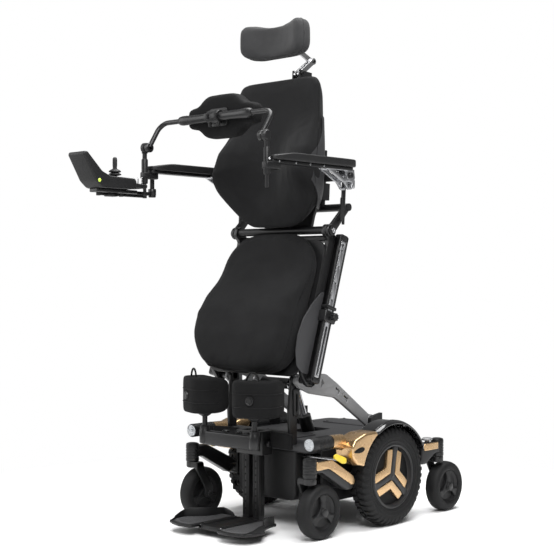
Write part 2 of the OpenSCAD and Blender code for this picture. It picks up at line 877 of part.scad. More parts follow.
module leg_column() {
  base_z = foot_z - 16;
  front = foot_rear - foot_l + 40;
  half = foot_hinge_x - foot_knuckle_r - 1;
  color(black) place() {
    translate([0, 0, base_z]) linear_extrude(column_top - base_z) tube_outline(0);
    box(-half, half, front, tube_y0 + tube_d, base_z, foot_z);
    both() {
      for (y = [front, foot_rear - foot_lug_l])
        box(half - 1, foot_hinge_x + 8, y, y + foot_lug_l, base_z, foot_z);
      yrod(foot_hinge_x, foot_hinge_z, foot_hinge_r, front + 2, foot_rear - 2);
    }
  }
}

module footplate(s) {
  front = foot_rear - foot_l;
  x0 = foot_hinge_x + 12;
  knuckle0 = front + 40 + foot_lug_l + 1;
  knuckle1 = foot_rear - foot_lug_l - 1;
  color(black) side(s) difference() {
    union() {
      translate([0, 0, foot_z - foot_t]) linear_extrude(foot_t)
        rounded(x0, foot_x, front, foot_rear, 30);
      difference() {
        translate([0, 0, foot_z - 1]) linear_extrude(foot_wall_h) rounded(x0, foot_x, front, foot_rear, 30);
        translate([0, 0, foot_z - 2]) linear_extrude(foot_wall_h + 3) difference() {
          rounded(x0 - 40, foot_x - foot_wall, front - 60, foot_rear - foot_wall, 24);
          translate([front_stem_x, -front_stem_y]) circle(sweep_r + foot_wall);
        }
        translate([0, front, foot_z + 4]) rotate([foot_wall_slope, 0, 0]) box(0, 400, -60, foot_l + 60, 0, 90);
      }
      box(foot_hinge_x, x0 + 30, knuckle0, knuckle1, foot_z - foot_t, foot_z);
      yrod(foot_hinge_x, foot_hinge_z, foot_knuckle_r, knuckle0, knuckle1);
    }
    yrod(foot_hinge_x, foot_hinge_z, foot_hinge_r + run, knuckle0 - 1, knuckle1 + 1);
    zrod(front_stem_x, -front_stem_y, sweep_r, 0, foot_z + foot_wall_h + 10);
  }
}

module knee_bracket(s) {
  top = knee_pad_z0 - seat_gap;
  color(black) side(s) {
    zrod(socket_x, socket_y, knee_post_r, socket_z0 + knee_drop, top);
    zrod(socket_x, socket_y, knee_flange_r, top - knee_flange_t, top);
  }
}

// Knee cups: a C in plan, open to the rear, rounded top and bottom
function cup_point(t, k) = let (
  x = knee_pad_w / 2 * power(cos(t), 0.6),
  dent = 1 - 1.05 * exp(-pow(x / cup_mid, 2)),
  y = sin(t) < 0 ? -cup_front * pow(-sin(t), 0.6) : cup_rear * pow(sin(t), 0.6) * dent
) [x * k, -cup_mid + (y + cup_mid) * k];

module knee_pad(s) {
  levels = [[0.90, 0], [0.97, 0.05], [1, 0.16], [1, 0.5], [1, 0.84], [0.97, 0.95], [0.90, 1]];
  rings = [
    for (l = levels) [
      for (j = [0 : ring_n - 1]) let (p = cup_point(j * 360 / ring_n, l[0])) [p[0], p[1], l[1] * knee_pad_h]
    ]
  ];
  color(charcoal) side(s) translate([knee_pad_x, knee_pad_y + seat_gap, knee_pad_z0])
    rotate([0, 0, knee_pad_turn]) padded(rings, [0, -cup_mid, 0], [0, -cup_mid, knee_pad_h]);
}

// Calf bands curve back round the legs on each side of the column
function calf_point(u, v) = [calf_x0 + u * (calf_x1 - calf_x0), calf_y - calf_curve * u * u + v];

module calf_pads() {
  mid = (calf_x0 + calf_x1) / 2;
  levels = [[0.86, 0], [1, 0.16], [1, 0.84], [0.86, 1]];
  rings = [
    for (l = levels) [
      for (j = [0 : ring_n - 1]) let (
        t = j * 360 / ring_n,
        u = 0.5 + 0.5 * l[0] * power(cos(t), 0.4),
        p = calf_point(u, calf_half_t * l[0] * power(sin(t), 0.6))
      ) [p[0], p[1], calf_z0 + l[1] * calf_h]
    ]
  ];
  mid_point = calf_point(0.5, 0);
  color(charcoal) place() both() {
    padded(rings, [mid_point[0], mid_point[1], calf_z0], [mid_point[0], mid_point[1], calf_z0 + calf_h]);
    box(
      tube_x + tube_w + sleeve_wall, calf_x0 + 6, calf_y - 4, calf_y + 5,
      calf_z0 + 14, calf_z0 + calf_h - 14
    );
  }
}

// Seat
module seat_frame() {
  color(silver) place() seat_axes() difference() {
    union() {
      both() {
        across(web_x0, web_x1) {
          polygon([
            [14, -16], [-14, -22], [-pan_n, 12], [-pan_n, hip_s - 30], [-hip_n - 20, hip_s - 16],
            [-hip_n - 20, hip_s + 16], [-hip_n, hip_s + 24], [-hip_n + 24, hip_s + 6], [-20, hip_s - 10],
            [14, hip_s - 30]
          ]);
          circle(22);
        }
        xrod(-hip_n, hip_s, hip_pin_r, web_x0, hip_x0 + hip_t + 4);
        xrod(-hip_n, hip_s, hip_pin_r + 5, hip_x0 + hip_t + 1, hip_x0 + hip_t + 4);
      }
      box(-web_x0 - 1, web_x0 + 1, -pan_n + 2, -30, hip_s - 34, hip_s - 12);
    }
    both() xrod(0, 0, lift_pin_r + run, web_x0 - 1, web_x1 + 1);
  }
}

// Slotted rail on the outside of each seat web, with a knob clamp and a row of accessory holes
module seat_rail(s) {
  x1 = web_x1 + rail_w;
  rail_n1 = rail_n0 + rail_d;
  color(silver) side(s) seat_axes() difference() {
    union() {
      box(web_x1, x1, -rail_n1, -rail_n0, rail_s0, rail_s0 + rail_l);
      box(web_x1, x1 + 10, -rail_n1 - 8, -rail_n0 + 8, clamp_s, clamp_s + clamp_l);
      xrod(-slot_n, clamp_s + clamp_l / 2, 14, x1 + 9, x1 + 34);
    }
    xrod(0, 0, lift_pin_r + run, web_x1 - 1, web_x1 + 3);
    box(x1 - slot_d, x1 + 1, -slot_n - slot_w / 2, -slot_n + slot_w / 2, 14, clamp_s - 10);
    for (i = [0 : 3])
      xrod(-slot_n, clamp_s + clamp_l + 40 + i * rail_pitch, rail_hole_r, web_x1 - 1, x1 + 1);
  }
}

module seat_pan() {
  color(black) place() seat_axes() translate([0, -pan_n, 0]) rotate([90, 0, 0])
    linear_extrude(pan_t) rounded(-web_x1, web_x1, -2, hip_s - 34, 50);
}

// Seat cushion: round corners, a slight waist, thicker toward the knee
function seat_point(t, k, h) = let (
  s = seat_l / 2 * power(sin(t), 0.45) * k,
  x = seat_w / 2 * power(cos(t), 0.45) * k * (1 - 0.035 * exp(-pow((s - 40) / 90, 2))),
  swell = smooth((150 - s) / 220) - 0.3 * smooth((-130 - s) / 110),
  thick = seat_t_hip + (seat_t_knee - seat_t_hip) * swell
) [x, -cushion_n - thick * h, seat_mid + s];

module seat_cushion() {
  rings = [for (l = crown) [for (j = [0 : ring_n - 1]) seat_point(j * 360 / ring_n, l[0], l[1])]];
  color(charcoal) place() seat_axes()
    padded(rings, [0, -cushion_n, seat_mid], seat_point(90, 0, 1));
}

// Back
module back_carrier() {
  color(black) place() back_axes() {
    both() difference() {
      union() {
        across(hip_x0, hip_x0 + hip_t) {
          polygon([
            [-20, -8], [-20, 14], [guide_y - 18, guide_z0 + tie_r], [guide_y + tie_r, guide_z0 + tie_r],
            [guide_y + tie_r, guide_z0 - tie_r], [guide_y - 10, guide_z0 - 34], [16, -16]
          ]);
          circle(hip_boss_r - 2);
        }
        zrod(guide_x, guide_y, guide_r, guide_z0, guide_z0 + guide_l);
      }
      xrod(0, 0, hip_pin_r + run, hip_x0 - 1, hip_x0 + hip_t + 1);
    }
    xrod(guide_y, guide_z0, tie_r, -hip_x0 - hip_t, hip_x0 + hip_t);
  }
}

// Half width of the back at a height above its foot
function back_half(z) = let (u = z / back_l)
  back_w / 2 * (0.80 + 0.20 * smooth(u / 0.28) - 0.10 * smooth((u - 0.45) / 0.4));

module shell_outline() {
  n = 12;
  top = shell_top - shell_bottom;
  sides = [
    for (i = [0 : n]) let (z = top * i / n)
      [back_half(z) - shell_inset - 44 * pow(max(0, i - n + 2) / 2, 2), z + shell_bottom]
  ];
  polygon(concat(sides, [for (i = [n : -1 : 0]) [-sides[i][0], sides[i][1]]]));
}

module back_shell() {
  y1 = shell_y + shell_t;
  color(black) place() back_axes() difference() {
    union() {
      translate([0, y1, 0]) rotate([90, 0, 0]) linear_extrude(shell_t) shell_outline();
      both() {
        box(
          guide_x - sleeve_w / 2, guide_x + sleeve_w / 2, y1 - 1, guide_y + sleeve_w / 2,
          sleeve_z, sleeve_z + sleeve_l
        );
        box(guide_x, arm_plate_x + 1, y1 - 1, y1 + 16, sleeve_z + 60, sleeve_z + 84);
        across(arm_plate_x, arm_plate_x + arm_plate_t) polygon([
          [arm_pivot_back[0] - 16, arm_pivot_back[1] - 14], [arm_pivot_back[0] - 16, arm_pivot_back[1] + 14],
          [y1 + 16, arm_pivot_back[1] + 18], [y1 + 16, arm_pivot_back[1] - 18]
        ]);
        xrod(arm_pivot_back[0], arm_pivot_back[1], arm_hinge_r, arm_plate_x, arm_x + 12);
        zrod(arm_plate_x + 6, y1, 5, 24, arm_pivot_back[1]);
        box(head_link_w / 2 + 1, head_link_w / 2 + 1 + head_ear_t, y1 - 1, y1 + 64, shell_top - 60, shell_top + 34);
      }
      box(-head_link_w, head_link_w, y1 - 1, y1 + 20, shell_top - 70, shell_top - 10);
      head_mount_pin();
    }
    both() zrod(guide_x, guide_y, guide_r + run, sleeve_z - 1, sleeve_z + sleeve_l + 1);
  }
}

// First headrest pivot, in the back's own axes
module head_mount_pin() {
  dy = head_p1[0] + hip_y;
  dz = head_p1[1] - hip_z;
  y = dy * cos(back_lean) - dz * sin(back_lean);
  z = dy * sin(back_lean) + dz * cos(back_lean);
  half = head_link_w / 2 + 1 + head_ear_t;
  xrod(y, z, head_pin_r, -half, half);
}

// Back cushion: bevelled behind, side bolsters stand forward at the loins, and the top is flatter
back_bevel = 62;
back_crown = [
  [0.72, 0.00], [0.86, 0.24], [0.97, 0.48], [1.00, 0.60], [1.00, 0.80], [0.985, 0.93], [0.93, 0.98], [0.70, 0.995]
];
function back_point(t, k, h) = let (
  z = back_l / 2 * (1 + power(sin(t), 0.4) * k),
  x = back_half(z) * power(cos(t), 0.4) * k,
  loin = exp(-pow((z - 200) / 125, 2)),
  thick = back_t + bolster_t * loin * smooth((abs(x) - 60) / 130),
  deep = h < 0.5 ? back_bevel * 2 * h : back_bevel + (thick - back_bevel) * (2 * h - 1)
) [x, shell_y - seat_gap - deep, 8 + z];

module back_cushion() {
  rings = [for (l = back_crown) [for (j = [0 : ring_n - 1]) back_point(j * 360 / ring_n, l[0], l[1])]];
  color(charcoal) place() back_axes()
    padded(rings, [0, shell_y - seat_gap, 8 + back_l / 2], back_point(90, 0, 1));
}

// Headrest
module head_link(a, b, half, t) {
  d = b - a;
  across(half - t, half) {
    for (p = [a, b]) translate(p) circle(head_boss_r);
    translate(a) rotate(atan2(d[1], d[0])) translate([0, -head_boss_r * 0.8]) square([norm(d), head_boss_r * 1.6]);
  }
}

module headrest_lower_link() {
  half = head_link_w / 2;
  color(silver) place() difference() {
    union() {
      both() head_link(head_p1, head_p2, half, 8);
      xrod(head_p1[0] + (head_p2[0] - head_p1[0]) / 2, (head_p1[1] + head_p2[1]) / 2, 6, -half, half);
      xrod(head_p2[0], head_p2[1], head_pin_r, -half, half);
    }
    xrod(head_p1[0], head_p1[1], head_pin_r + run, -half - 1, half + 1);
  }
}

module headrest_upper_link() {
  half = head_link_w / 2 - 8 - seat_gap;
  color(silver) place() difference() {
    union() {
      both() head_link(head_p2, head_p3, half, half);
      xrod(head_p3[0], head_p3[1], head_pin_r, -head_link_w / 2, head_link_w / 2);
    }
    xrod(head_p2[0], head_p2[1], head_pin_r + run, -half - 1, half + 1);
  }
}

// Headrest pad: a saddle, low in the middle, with wings a little forward
function head_point(t, k, h) = let (
  x = head_w / 2 * power(cos(t), 0.42) * k,
  wing = pow(abs(x) / (head_w / 2), 2),
  z = head_h / 2 * power(sin(t), 0.45) * k * (sin(t) > 0 ? 0.68 + 0.32 * wing : 0.86),
  thick = head_t * (0.86 + 0.5 * wing)
) [x, -seat_gap - thick * h - 4 * wing, z];

module headrest_pad() {
  rings = [for (l = crown) [for (j = [0 : ring_n - 1]) head_point(j * 360 / ring_n, l[0], l[1])]];
  ear_x = head_link_w / 2 - 8 + seat_gap;
  color(charcoal) place() {
    translate([0, head_plate_y, head_mid_z]) padded(rings, [0, -seat_gap, 0], head_point(90, 0, 1));
    difference() {
      union() {
        box(-70, 70, head_plate_y, head_plate_y + 5, head_mid_z - 26, head_mid_z + 26);
        both() across(ear_x, ear_x + 6) {
          translate(head_p3) circle(head_boss_r);
          translate([head_plate_y, head_p3[1] - head_boss_r])
            square([head_p3[0] - head_plate_y, 2 * head_boss_r]);
        }
      }
      both() xrod(head_p3[0], head_p3[1], head_pin_r + run, ear_x - 1, ear_x + 8);
    }
  }
}

// Armrests
module arm_frame(s) {
  bracket_x0 = arm_plate_x + arm_plate_t + 2;
  bracket_x1 = arm_x + 8;
  color(silver) side(s) difference() {
    union() {
      across(bracket_x0, bracket_x1) polygon([
        [arm_axis_y + 24, pad_z - 8], [arm_axis_y + 28, arm_axis_z - 8], [arm_axis_y + 12, arm_axis_z - 48],
        [arm_axis_y - 10, arm_axis_z - 50], [arm_axis_y - 30, arm_axis_z - 26], [arm_axis_y - 120, pad_z - 8]
      ]);
      box(arm_x - 16, arm_x + 16, pad_front + 6, arm_axis_y + 15, pad_z - 10, pad_z - seat_gap);
      box(post_x - 13, post_x + 13, post_y - 13, pad_front + 40, pad_z - 32, pad_z - 8);
      zrod(post_x, post_y, post_tube_r, post_bottom, knob_z);
      translate([post_x, post_y, knob_z]) sphere(knob_r);
      xrod(post_y, knob_z, bar_pin_r, bar_eye_x - 3, post_x);
      if (s < 0) {
        box(arm_x + 10, swing_x + 12, swing_y - 14, swing_y + 14, pad_z - 24, pad_z - 8);
        zrod(swing_x, swing_y, swing_r, swing_z0 - 2, pad_z - 20);
        zrod(swing_x, swing_y, swing_r + 5, swing_z0 - 6, swing_z0 - seat_gap);
      }
    }
    xrod(arm_axis_y, arm_axis_z, arm_hinge_r + run, bracket_x0 - 1, bracket_x1 + 12);
  }
}

function arm_pad_point(t, k, h) = [
  arm_pad_w / 2 * power(cos(t), 0.5) * k,
  arm_pad_l / 2 * power(sin(t), 0.3) * (1 - (1 - k) * arm_pad_w / arm_pad_l),
  arm_pad_t * h
];

module arm_pad(s) {
  rings = [for (l = crown) [for (j = [0 : ring_n - 1]) arm_pad_point(j * 360 / ring_n, l[0], l[1])]];
  color(charcoal) side(s) translate([arm_x, pad_front + arm_pad_l / 2, pad_z])
    padded(rings, [0, 0, 0], [0, 0, arm_pad_t]);
}

// Chest bar and pad
module chest_bar() {
  foot = [bar_eye_x + bar_eye_t - bar_r - 1, post_y, knob_z];
  color(black) place() {
    both() difference() {
      union() {
        rod(foot, bar_corner, bar_r);
        translate(bar_corner) sphere(bar_r + 1.5);
        xrod(post_y, knob_z, bar_pin_r + 7, bar_eye_x, bar_eye_x + bar_eye_t);
      }
      xrod(post_y, knob_z, bar_pin_r + run, bar_eye_x - 10, bar_eye_x + bar_eye_t + 10);
    }
    xrod(bar_corner[1], bar_corner[2], bar_r, -bar_corner[0], bar_corner[0]);
    xrod(bar_corner[1], bar_corner[2], bar_mid_r, -165, 165);
  }
}

// Chest pad: a tall middle with a lower wing on each side
function chest_point(t, k, h) = let (
  x = -chest_w / 2 * power(cos(t), 0.5) * k,
  mid = exp(-pow(x / (chest_w * 0.25), 4)),
  z = chest_h / 2 * power(sin(t), 0.5) * k * (0.54 + 0.46 * mid)
) [x, chest_t * h, z];

module chest_pad() {
  rings = [for (l = crown) [for (j = [0 : ring_n - 1]) chest_point(j * 360 / ring_n, l[0], l[1])]];
  back = bar_corner[1] + ring_r;
  color(charcoal) place() {
    translate([0, back + seat_gap, bar_corner[2]])
      padded(rings, [0, 0, 0], chest_point(90, 0, 1));
    difference() {
      union() {
        xrod(bar_corner[1], bar_corner[2], ring_r, -ring_half, ring_half);
        box(-ring_half, ring_half, back - 8, back, bar_corner[2] - 36, bar_corner[2] + 36);
      }
      xrod(bar_corner[1], bar_corner[2], bar_mid_r + run, -ring_half - 1, ring_half + 1);
    }
  }
}

// Control
module control_arm() {
  color(silver) place() difference() {
    union() {
      zrod(-swing_x, swing_y, swing_r + 6, swing_z0, swing_z0 + 24);
      box(-swing_x - 13, -swing_x + 10, stick_y - 90, swing_y, swing_z0, panel_z);
      box(-swing_x - 13, -panel_x + 20, stick_y - 90, stick_y + 90, swing_z0, panel_z);
    }
    zrod(-swing_x, swing_y, swing_r + run, swing_z0 - 1, swing_z0 + 25);
  }
}

module control_panel() {
  rear = stick_y + 120;
  color(black) place() difference() {
    across(-panel_x - panel_w / 2, -panel_x + panel_w / 2) polygon([
      [rear, panel_z + 6], [rear, panel_z + 22], [stick_y + 72, panel_z + 24], [stick_y + 58, panel_z + 38],
      [stick_y - 60, panel_z + 42], [stick_y - 100, panel_z + 56],
      [-panel_tip_y + 16, panel_z + 118], [-panel_tip_y + 4, panel_z + 118], [-panel_tip_y, panel_z + 108],
      [stick_y - 120, panel_z + 22], [stick_y - 92, panel_z], [stick_y + 64, panel_z]
    ]);
    zrod(-panel_x, stick_y, bowl_r, stick_z - 20, panel_z + 60);
    xrod(stick_y, stick_z, gimbal_pin_r + run, -panel_x - bowl_r - 8, -panel_x + bowl_r + 8);
  }
}

module joystick_gimbal() {
  color(grey) place() translate([-panel_x, stick_y, stick_z]) difference() {
    union() {
      difference() {
        zrod(0, 0, gimbal_r, -gimbal_h / 2, gimbal_h / 2);
        zrod(0, 0, gimbal_in_r, -gimbal_h, gimbal_h);
      }
      both() xrod(0, 0, gimbal_pin_r, gimbal_r - 3, bowl_r + 7);
    }
    yrod(0, 0, stick_pin_r + run, -gimbal_r - 1, gimbal_r + 1);
  }
}

module joystick() {
  color(black) place() translate([-panel_x, stick_y, stick_z]) {
    sphere(9);
    yrod(0, 0, stick_pin_r, -gimbal_r + 0.5, gimbal_r - 0.5);
    zrod(0, 0, 5, 0, 46);
    translate([0, 0, 42]) rotate_extrude() polygon([[0, 0], [8, 0], [12, 14], [14, 26], [12, 33], [6, 36], [0, 36]]);
  }
}

chassis_frame();
base_shroud();
batteries();
drive_motors();
fender(1);  // left_fender
fender(-1);  // right_fender
fender_cover(1);  // left_fender_cover
fender_cover(-1);  // right_fender_cover
headlight_bodies();
headlight_lenses();
release_levers();
front_arm(1);  // front_left_arm
front_arm(-1);  // front_right_arm
rear_arm(1);  // rear_left_arm
rear_arm(-1);  // rear_right_arm
at_front(1) fork();  // front_left_fork
at_front(-1) fork();  // front_right_fork
at_rear(1) fork();  // rear_left_fork
at_rear(-1) fork();  // rear_right_fork
at_front(1) caster_wheel();  // front_left_caster
at_front(-1) caster_wheel();  // front_right_caster
at_rear(1) caster_wheel();  // rear_left_caster
at_rear(-1) caster_wheel();  // rear_right_caster
tyre(1);  // left_tyre
tyre(-1);  // right_tyre
rim(1);  // left_rim
rim(-1);  // right_rim
rim_inserts(1);  // left_rim_inserts
rim_inserts(-1);  // right_rim_inserts
lift_arm();
lift_actuator_tube();
lift_actuator_rod();
leg_carrier();
leg_column();
calf_pads();
footplate(1);  // left_footplate
footplate(-1);  // right_footplate
knee_bracket(1);  // left_knee_bracket
knee_bracket(-1);  // right_knee_bracket
knee_pad(1);  // left_knee_pad
knee_pad(-1);  // right_knee_pad
seat_frame();
seat_rail(1);  // left_seat_rail
seat_rail(-1);  // right_seat_rail
seat_pan();
seat_cushion();
back_carrier();
back_shell();
back_cushion();
headrest_lower_link();
headrest_upper_link();
headrest_pad();
arm_frame(1);  // left_arm_frame
arm_frame(-1);  // right_arm_frame
arm_pad(1);  // left_arm_pad
arm_pad(-1);  // right_arm_pad
chest_bar();
chest_pad();
control_arm();
control_panel();
joystick_gimbal();
joystick();
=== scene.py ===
import math

import bmesh
import bpy
from mathutils import Matrix, Vector


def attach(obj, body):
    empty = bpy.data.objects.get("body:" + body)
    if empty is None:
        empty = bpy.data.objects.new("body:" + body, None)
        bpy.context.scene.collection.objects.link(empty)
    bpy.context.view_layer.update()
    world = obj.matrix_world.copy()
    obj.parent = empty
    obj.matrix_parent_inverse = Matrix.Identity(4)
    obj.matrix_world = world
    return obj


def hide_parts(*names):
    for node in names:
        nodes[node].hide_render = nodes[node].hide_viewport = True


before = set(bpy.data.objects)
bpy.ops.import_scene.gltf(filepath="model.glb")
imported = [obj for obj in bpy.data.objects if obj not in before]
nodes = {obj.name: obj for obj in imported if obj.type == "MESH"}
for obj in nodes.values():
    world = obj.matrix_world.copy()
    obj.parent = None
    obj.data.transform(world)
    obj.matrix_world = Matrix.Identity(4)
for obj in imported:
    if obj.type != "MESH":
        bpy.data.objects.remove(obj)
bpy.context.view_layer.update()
scene = bpy.context.scene
SIDES = ((1, "left"), (-1, "right"))

# Lengths below are millimetres from the floor under the middle of the drive axle.
AXLE = Matrix.Scale(0.001, 4) @ Matrix.Translation((0, 245, 0))
WHEEL_Z = 175
CASTER_AXLE = (0, 45, 92)
LAMP = (285, 0, 320)
LEVER = (0, -256, 255)
LIFT_PIVOT = (0, 73, 351)
KNEE = (0, -318, 525)
KNEE_POST = (120, -490, 0)
ARM_PIVOT = (0, -200, 1228)
BAR_HINGE = (0, -615, 1332)
CHEST_BAR = (0, -558, 1421)
STICK = (-295, -750, 0)
ARM_ROD = (295, -615, 0)
# The strut of an armrest, in the frame of the back
STRUT = (246, 37, 0)


def spot(*at):
    return AXLE @ Matrix.Translation(at)


def lean(degrees, axis="X"):
    return Matrix.Rotation(math.radians(degrees), 4, axis)


SEAT = spot(*KNEE) @ lean(-17.6)
BACK = spot(0, -225, 1040) @ lean(-3.7)
HEAD = spot(0, -220, 1726)
CHEST = spot(0, -535.7, 1427)

# Axes that a flat outline, or a spun profile, is turned to
ALONG = {
    "X": Matrix(((0, 0, 1, 0), (1, 0, 0, 0), (0, 1, 0, 0), (0, 0, 0, 1))),
    "Y": Matrix(((1, 0, 0, 0), (0, 0, -1, 0), (0, 1, 0, 0), (0, 0, 0, 1))),
    "Z": Matrix.Identity(4),
}
TURN = {
    "X": Matrix.Rotation(math.pi / 2, 4, "Y"),
    "Y": Matrix.Rotation(-math.pi / 2, 4, "X"),
    "Z": Matrix.Identity(4),
}
# Corners nearer to straight than this angle stay sharp, and a round takes at most this share of a side
STRAIGHT = 3.1
SHARE = 0.48
# Edges sharper than this angle in degrees stay sharp in the shading, and none does on foam
SHARP = 34
ALL_SMOOTH = 180


# Mesh helpers: each shape is a bmesh in millimetres
def turns(n):
    return [2 * math.pi * i / n for i in range(n)]


def power(v, e):
    return math.copysign(abs(v) ** e, v)


def smooth(v):
    t = min(1, max(0, v))
    return t * t * (3 - 2 * t)


def full(half):
    """A profile and its mirror image."""
    return half + [(r, -x) for r, x in half[::-1]]


def loose(curve):
    """The mesh of a curve, as a bmesh."""
    ob = bpy.data.objects.new("curve", curve)
    scene.collection.objects.link(ob)
    bpy.context.view_layer.update()
    dg = bpy.context.evaluated_depsgraph_get()
    me = bpy.data.meshes.new_from_object(ob.evaluated_get(dg))
    bm = bmesh.new()
    bm.from_mesh(me)
    bmesh.ops.remove_doubles(bm, verts=bm.verts, dist=0.002)
    bpy.data.objects.remove(ob)
    bpy.data.curves.remove(curve)
    bpy.data.meshes.remove(me)
    return bm


def fillet(points, radius, n=5):
    """A closed outline with its corners rounded."""
    out = []
    count = len(points)
    for i, corner in enumerate(points):
        r = radius[i] if isinstance(radius, list) else radius
        p = Vector(corner)
        a = Vector(points[i - 1]) - p
        b = Vector(points[(i + 1) % count]) - p
        turn = a.angle(b)
        if r <= 0 or turn > STRAIGHT:
            out.append(tuple(p))
            continue
        d = min(r / math.tan(turn / 2), SHARE * a.length, SHARE * b.length)
        a.normalize()
        b.normalize()
        rr = d * math.tan(turn / 2)
        mid = p + (a + b).normalized() * (rr / math.sin(turn / 2))
        s = p + a * d - mid
        e = p + b * d - mid
        t0 = math.atan2(s.y, s.x)
        sweep = (math.atan2(e.y, e.x) - t0 + math.pi) % (2 * math.pi) - math.pi
        for k in range(n + 1):
            t = t0 + sweep * k / n
            out.append((mid.x + rr * math.cos(t), mid.y + rr * math.sin(t)))
    return out


def ring(cx, cy, r, n):
    return [(cx + r * math.cos(t), cy + r * math.sin(t)) for t in turns(n)]


def box2(x0, x1, y0, y1, r):
    return fillet([(x0, y0), (x1, y0), (x1, y1), (x0, y1)], r)


def plate(loops, lo, hi, axis="X", edge=1.5, res=2):
    """A flat piece with round edges. The first loop is its outside and the others are holes."""
    cu = bpy.data.curves.new("plate", "CURVE")
    cu.dimensions = "2D"
    cu.fill_mode = "BOTH"
    cu.extrude = (hi - lo) / 2 - edge
    cu.bevel_depth = edge
    cu.offset = -edge
    cu.bevel_resolution = res
    for loop in loops:
        sp = cu.splines.new("POLY")
        sp.points.add(len(loop) - 1)
        sp.use_cyclic_u = True
        for p, q in zip(sp.points, loop):
            p.co = (q[0], q[1], 0, 1)
    bm = loose(cu)
    mid = (lo + hi) / 2
    shift = Matrix.Translation((0, 0, -mid if axis == "Y" else mid))
    bm.transform(ALONG[axis] @ shift)
    return bm


def tube(points, r, bend=0, res=5):
    """A round tube through points, with its corners bent to a radius."""
    pts = [Vector(p) for p in points]
    path = [pts[0]]
    for a, p, b in zip(pts, pts[1:], pts[2:]):
        u = a - p
        v = b - p
        turn = u.angle(v)
        if not bend or turn >= STRAIGHT:
            path.append(p)
            continue
        d = min(bend / math.tan(turn / 2), SHARE * u.length, SHARE * v.length)
        u.normalize()
        v.normalize()
        rr = d * math.tan(turn / 2)
        mid = p + (u + v).normalized() * (rr / math.sin(turn / 2))
        s = p + u * d - mid
        e = p + v * d - mid
        sweep = s.angle(e)
        for k in range(9):
            t = k / 8
            path.append(mid + (s * math.sin((1 - t) * sweep) + e * math.sin(t * sweep)) / math.sin(sweep))
    path.append(pts[-1])
    cu = bpy.data.curves.new("tube", "CURVE")
    cu.dimensions = "3D"
    cu.bevel_depth = r
    cu.bevel_resolution = res
    cu.use_fill_caps = True
    sp = cu.splines.new("POLY")
    sp.points.add(len(path) - 1)
    for p, q in zip(sp.points, path):
        p.co = (*q, 1)
    return loose(cu)


def lathe(profile, axis="Z", seg=56, at=(0, 0, 0)):
    """Spins (radius, height) points round an axis through a point."""
    bm = bmesh.new()
    rows = []
    for r, h in profile:
        if r < 1e-6:
            rows.append([bm.verts.new((0, 0, h))])
        else:
            rows.append([bm.verts.new((r * math.cos(t), r * math.sin(t), h)) for t in turns(seg)])
    for a, b in zip(rows, rows[1:]):
        for i in range(seg):
            k = (i + 1) % seg
            quad = [a[i % len(a)], a[k % len(a)], b[k % len(b)], b[i % len(b)]]
            corners = list(dict.fromkeys(quad))
            if len(corners) > 2:
                bm.faces.new(corners)
    bm.transform(Matrix.Translation(at) @ TURN[axis])
    return bm


def block(x0, x1, y0, y1, z0, z1, edge=2.0, seg=2):
    bm = bmesh.new()
    bmesh.ops.create_cube(bm, size=1)
    size = Matrix.Diagonal((x1 - x0, y1 - y0, z1 - z0, 1))
    bm.transform(Matrix.Translation(((x0 + x1) / 2, (y0 + y1) / 2, (z0 + z1) / 2)) @ size)
    bmesh.ops.bevel(bm, geom=bm.edges[:], offset=edge, segments=seg, profile=0.5, affect="EDGES")
    return bm


def bolt(x, y, z, r, h, axis="X", out=1):
    """A round cap screw with a round socket."""
    prof = [(0, h * 0.35), (r * 0.5, h * 0.35), (r * 0.5, h), (r * 0.86, h), (r, h * 0.8), (r, 0), (0, 0)]
    bm = lathe(prof, "Z", 24)
    if out < 0:
        bm.transform(Matrix.Rotation(math.pi, 4, "X"))
    bm.transform(Matrix.Translation((x, y, z)) @ TURN[axis])
    return bm


def skin(bm, rows):
    n = len(rows[0])
    for a, b in zip(rows, rows[1:]):
        for i in range(n):
            k = (i + 1) % n
            bm.faces.new((a[i], a[k], b[k], b[i]))


def loft(rings):
    """A closed form over rings of points, each with the same count."""
    bm = bmesh.new()
    rows = [[bm.verts.new(p) for p in r] for r in rings]
    skin(bm, rows)
    bm.faces.new(rows[0][::-1])
    bm.faces.new(rows[-1])
    return bm


def flip(bm):
    """The same bmesh on the other side of the chair."""
    bm.transform(Matrix.Diagonal((-1, 1, 1, 1)))
    bmesh.ops.reverse_faces(bm, faces=bm.faces)
    return bm


def mirrored(make):
    """What a function makes, for the left side and again for the right."""
    return make() + [flip(bm) for bm in make()]


def piece(name, body, mat, parts, replaces=(), at=AXLE, side=1, angle=SHARP):
    """One object made of several bmeshes, riding on a CAD body."""
    me = bpy.data.meshes.new(name)
    bm = bmesh.new()
    for part in parts:
        bmesh.ops.recalc_face_normals(part, faces=part.faces)
        part.to_mesh(me)
        bm.from_mesh(me)
        part.free()
    bm.transform(at)
    if side < 0:
        flip(bm)
    me.clear_geometry()
    bm.to_mesh(me)
    bm.free()
    me.shade_smooth()
    me.set_sharp_from_angle(angle=math.radians(angle))
    me.materials.append(mat)
    ob = bpy.data.objects.new(name, me)
    scene.collection.objects.link(ob)
    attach(ob, body)
    if replaces:
        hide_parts(*replaces)
    return ob


def pair(name, body, mat, make, replaces=(), at=AXLE, angle=SHARP):
    """A left piece and its mirror image. A node with no side in its name is replaced by the left one."""
    for s, side in SIDES:
        swap = [n.format(side) for n in replaces if s > 0 or "{}" in n]
        piece(side + "_" + name, body.format(side), mat, make(), swap, at, s, angle)


def apply_mods(ob):
    dg = bpy.context.evaluated_depsgraph_get()
    me = bpy.data.meshes.new_from_object(ob.evaluated_get(dg))
    old = ob.data
    ob.modifiers.clear()
    ob.data = me
    me.name = old.name
    bpy.data.meshes.remove(old)


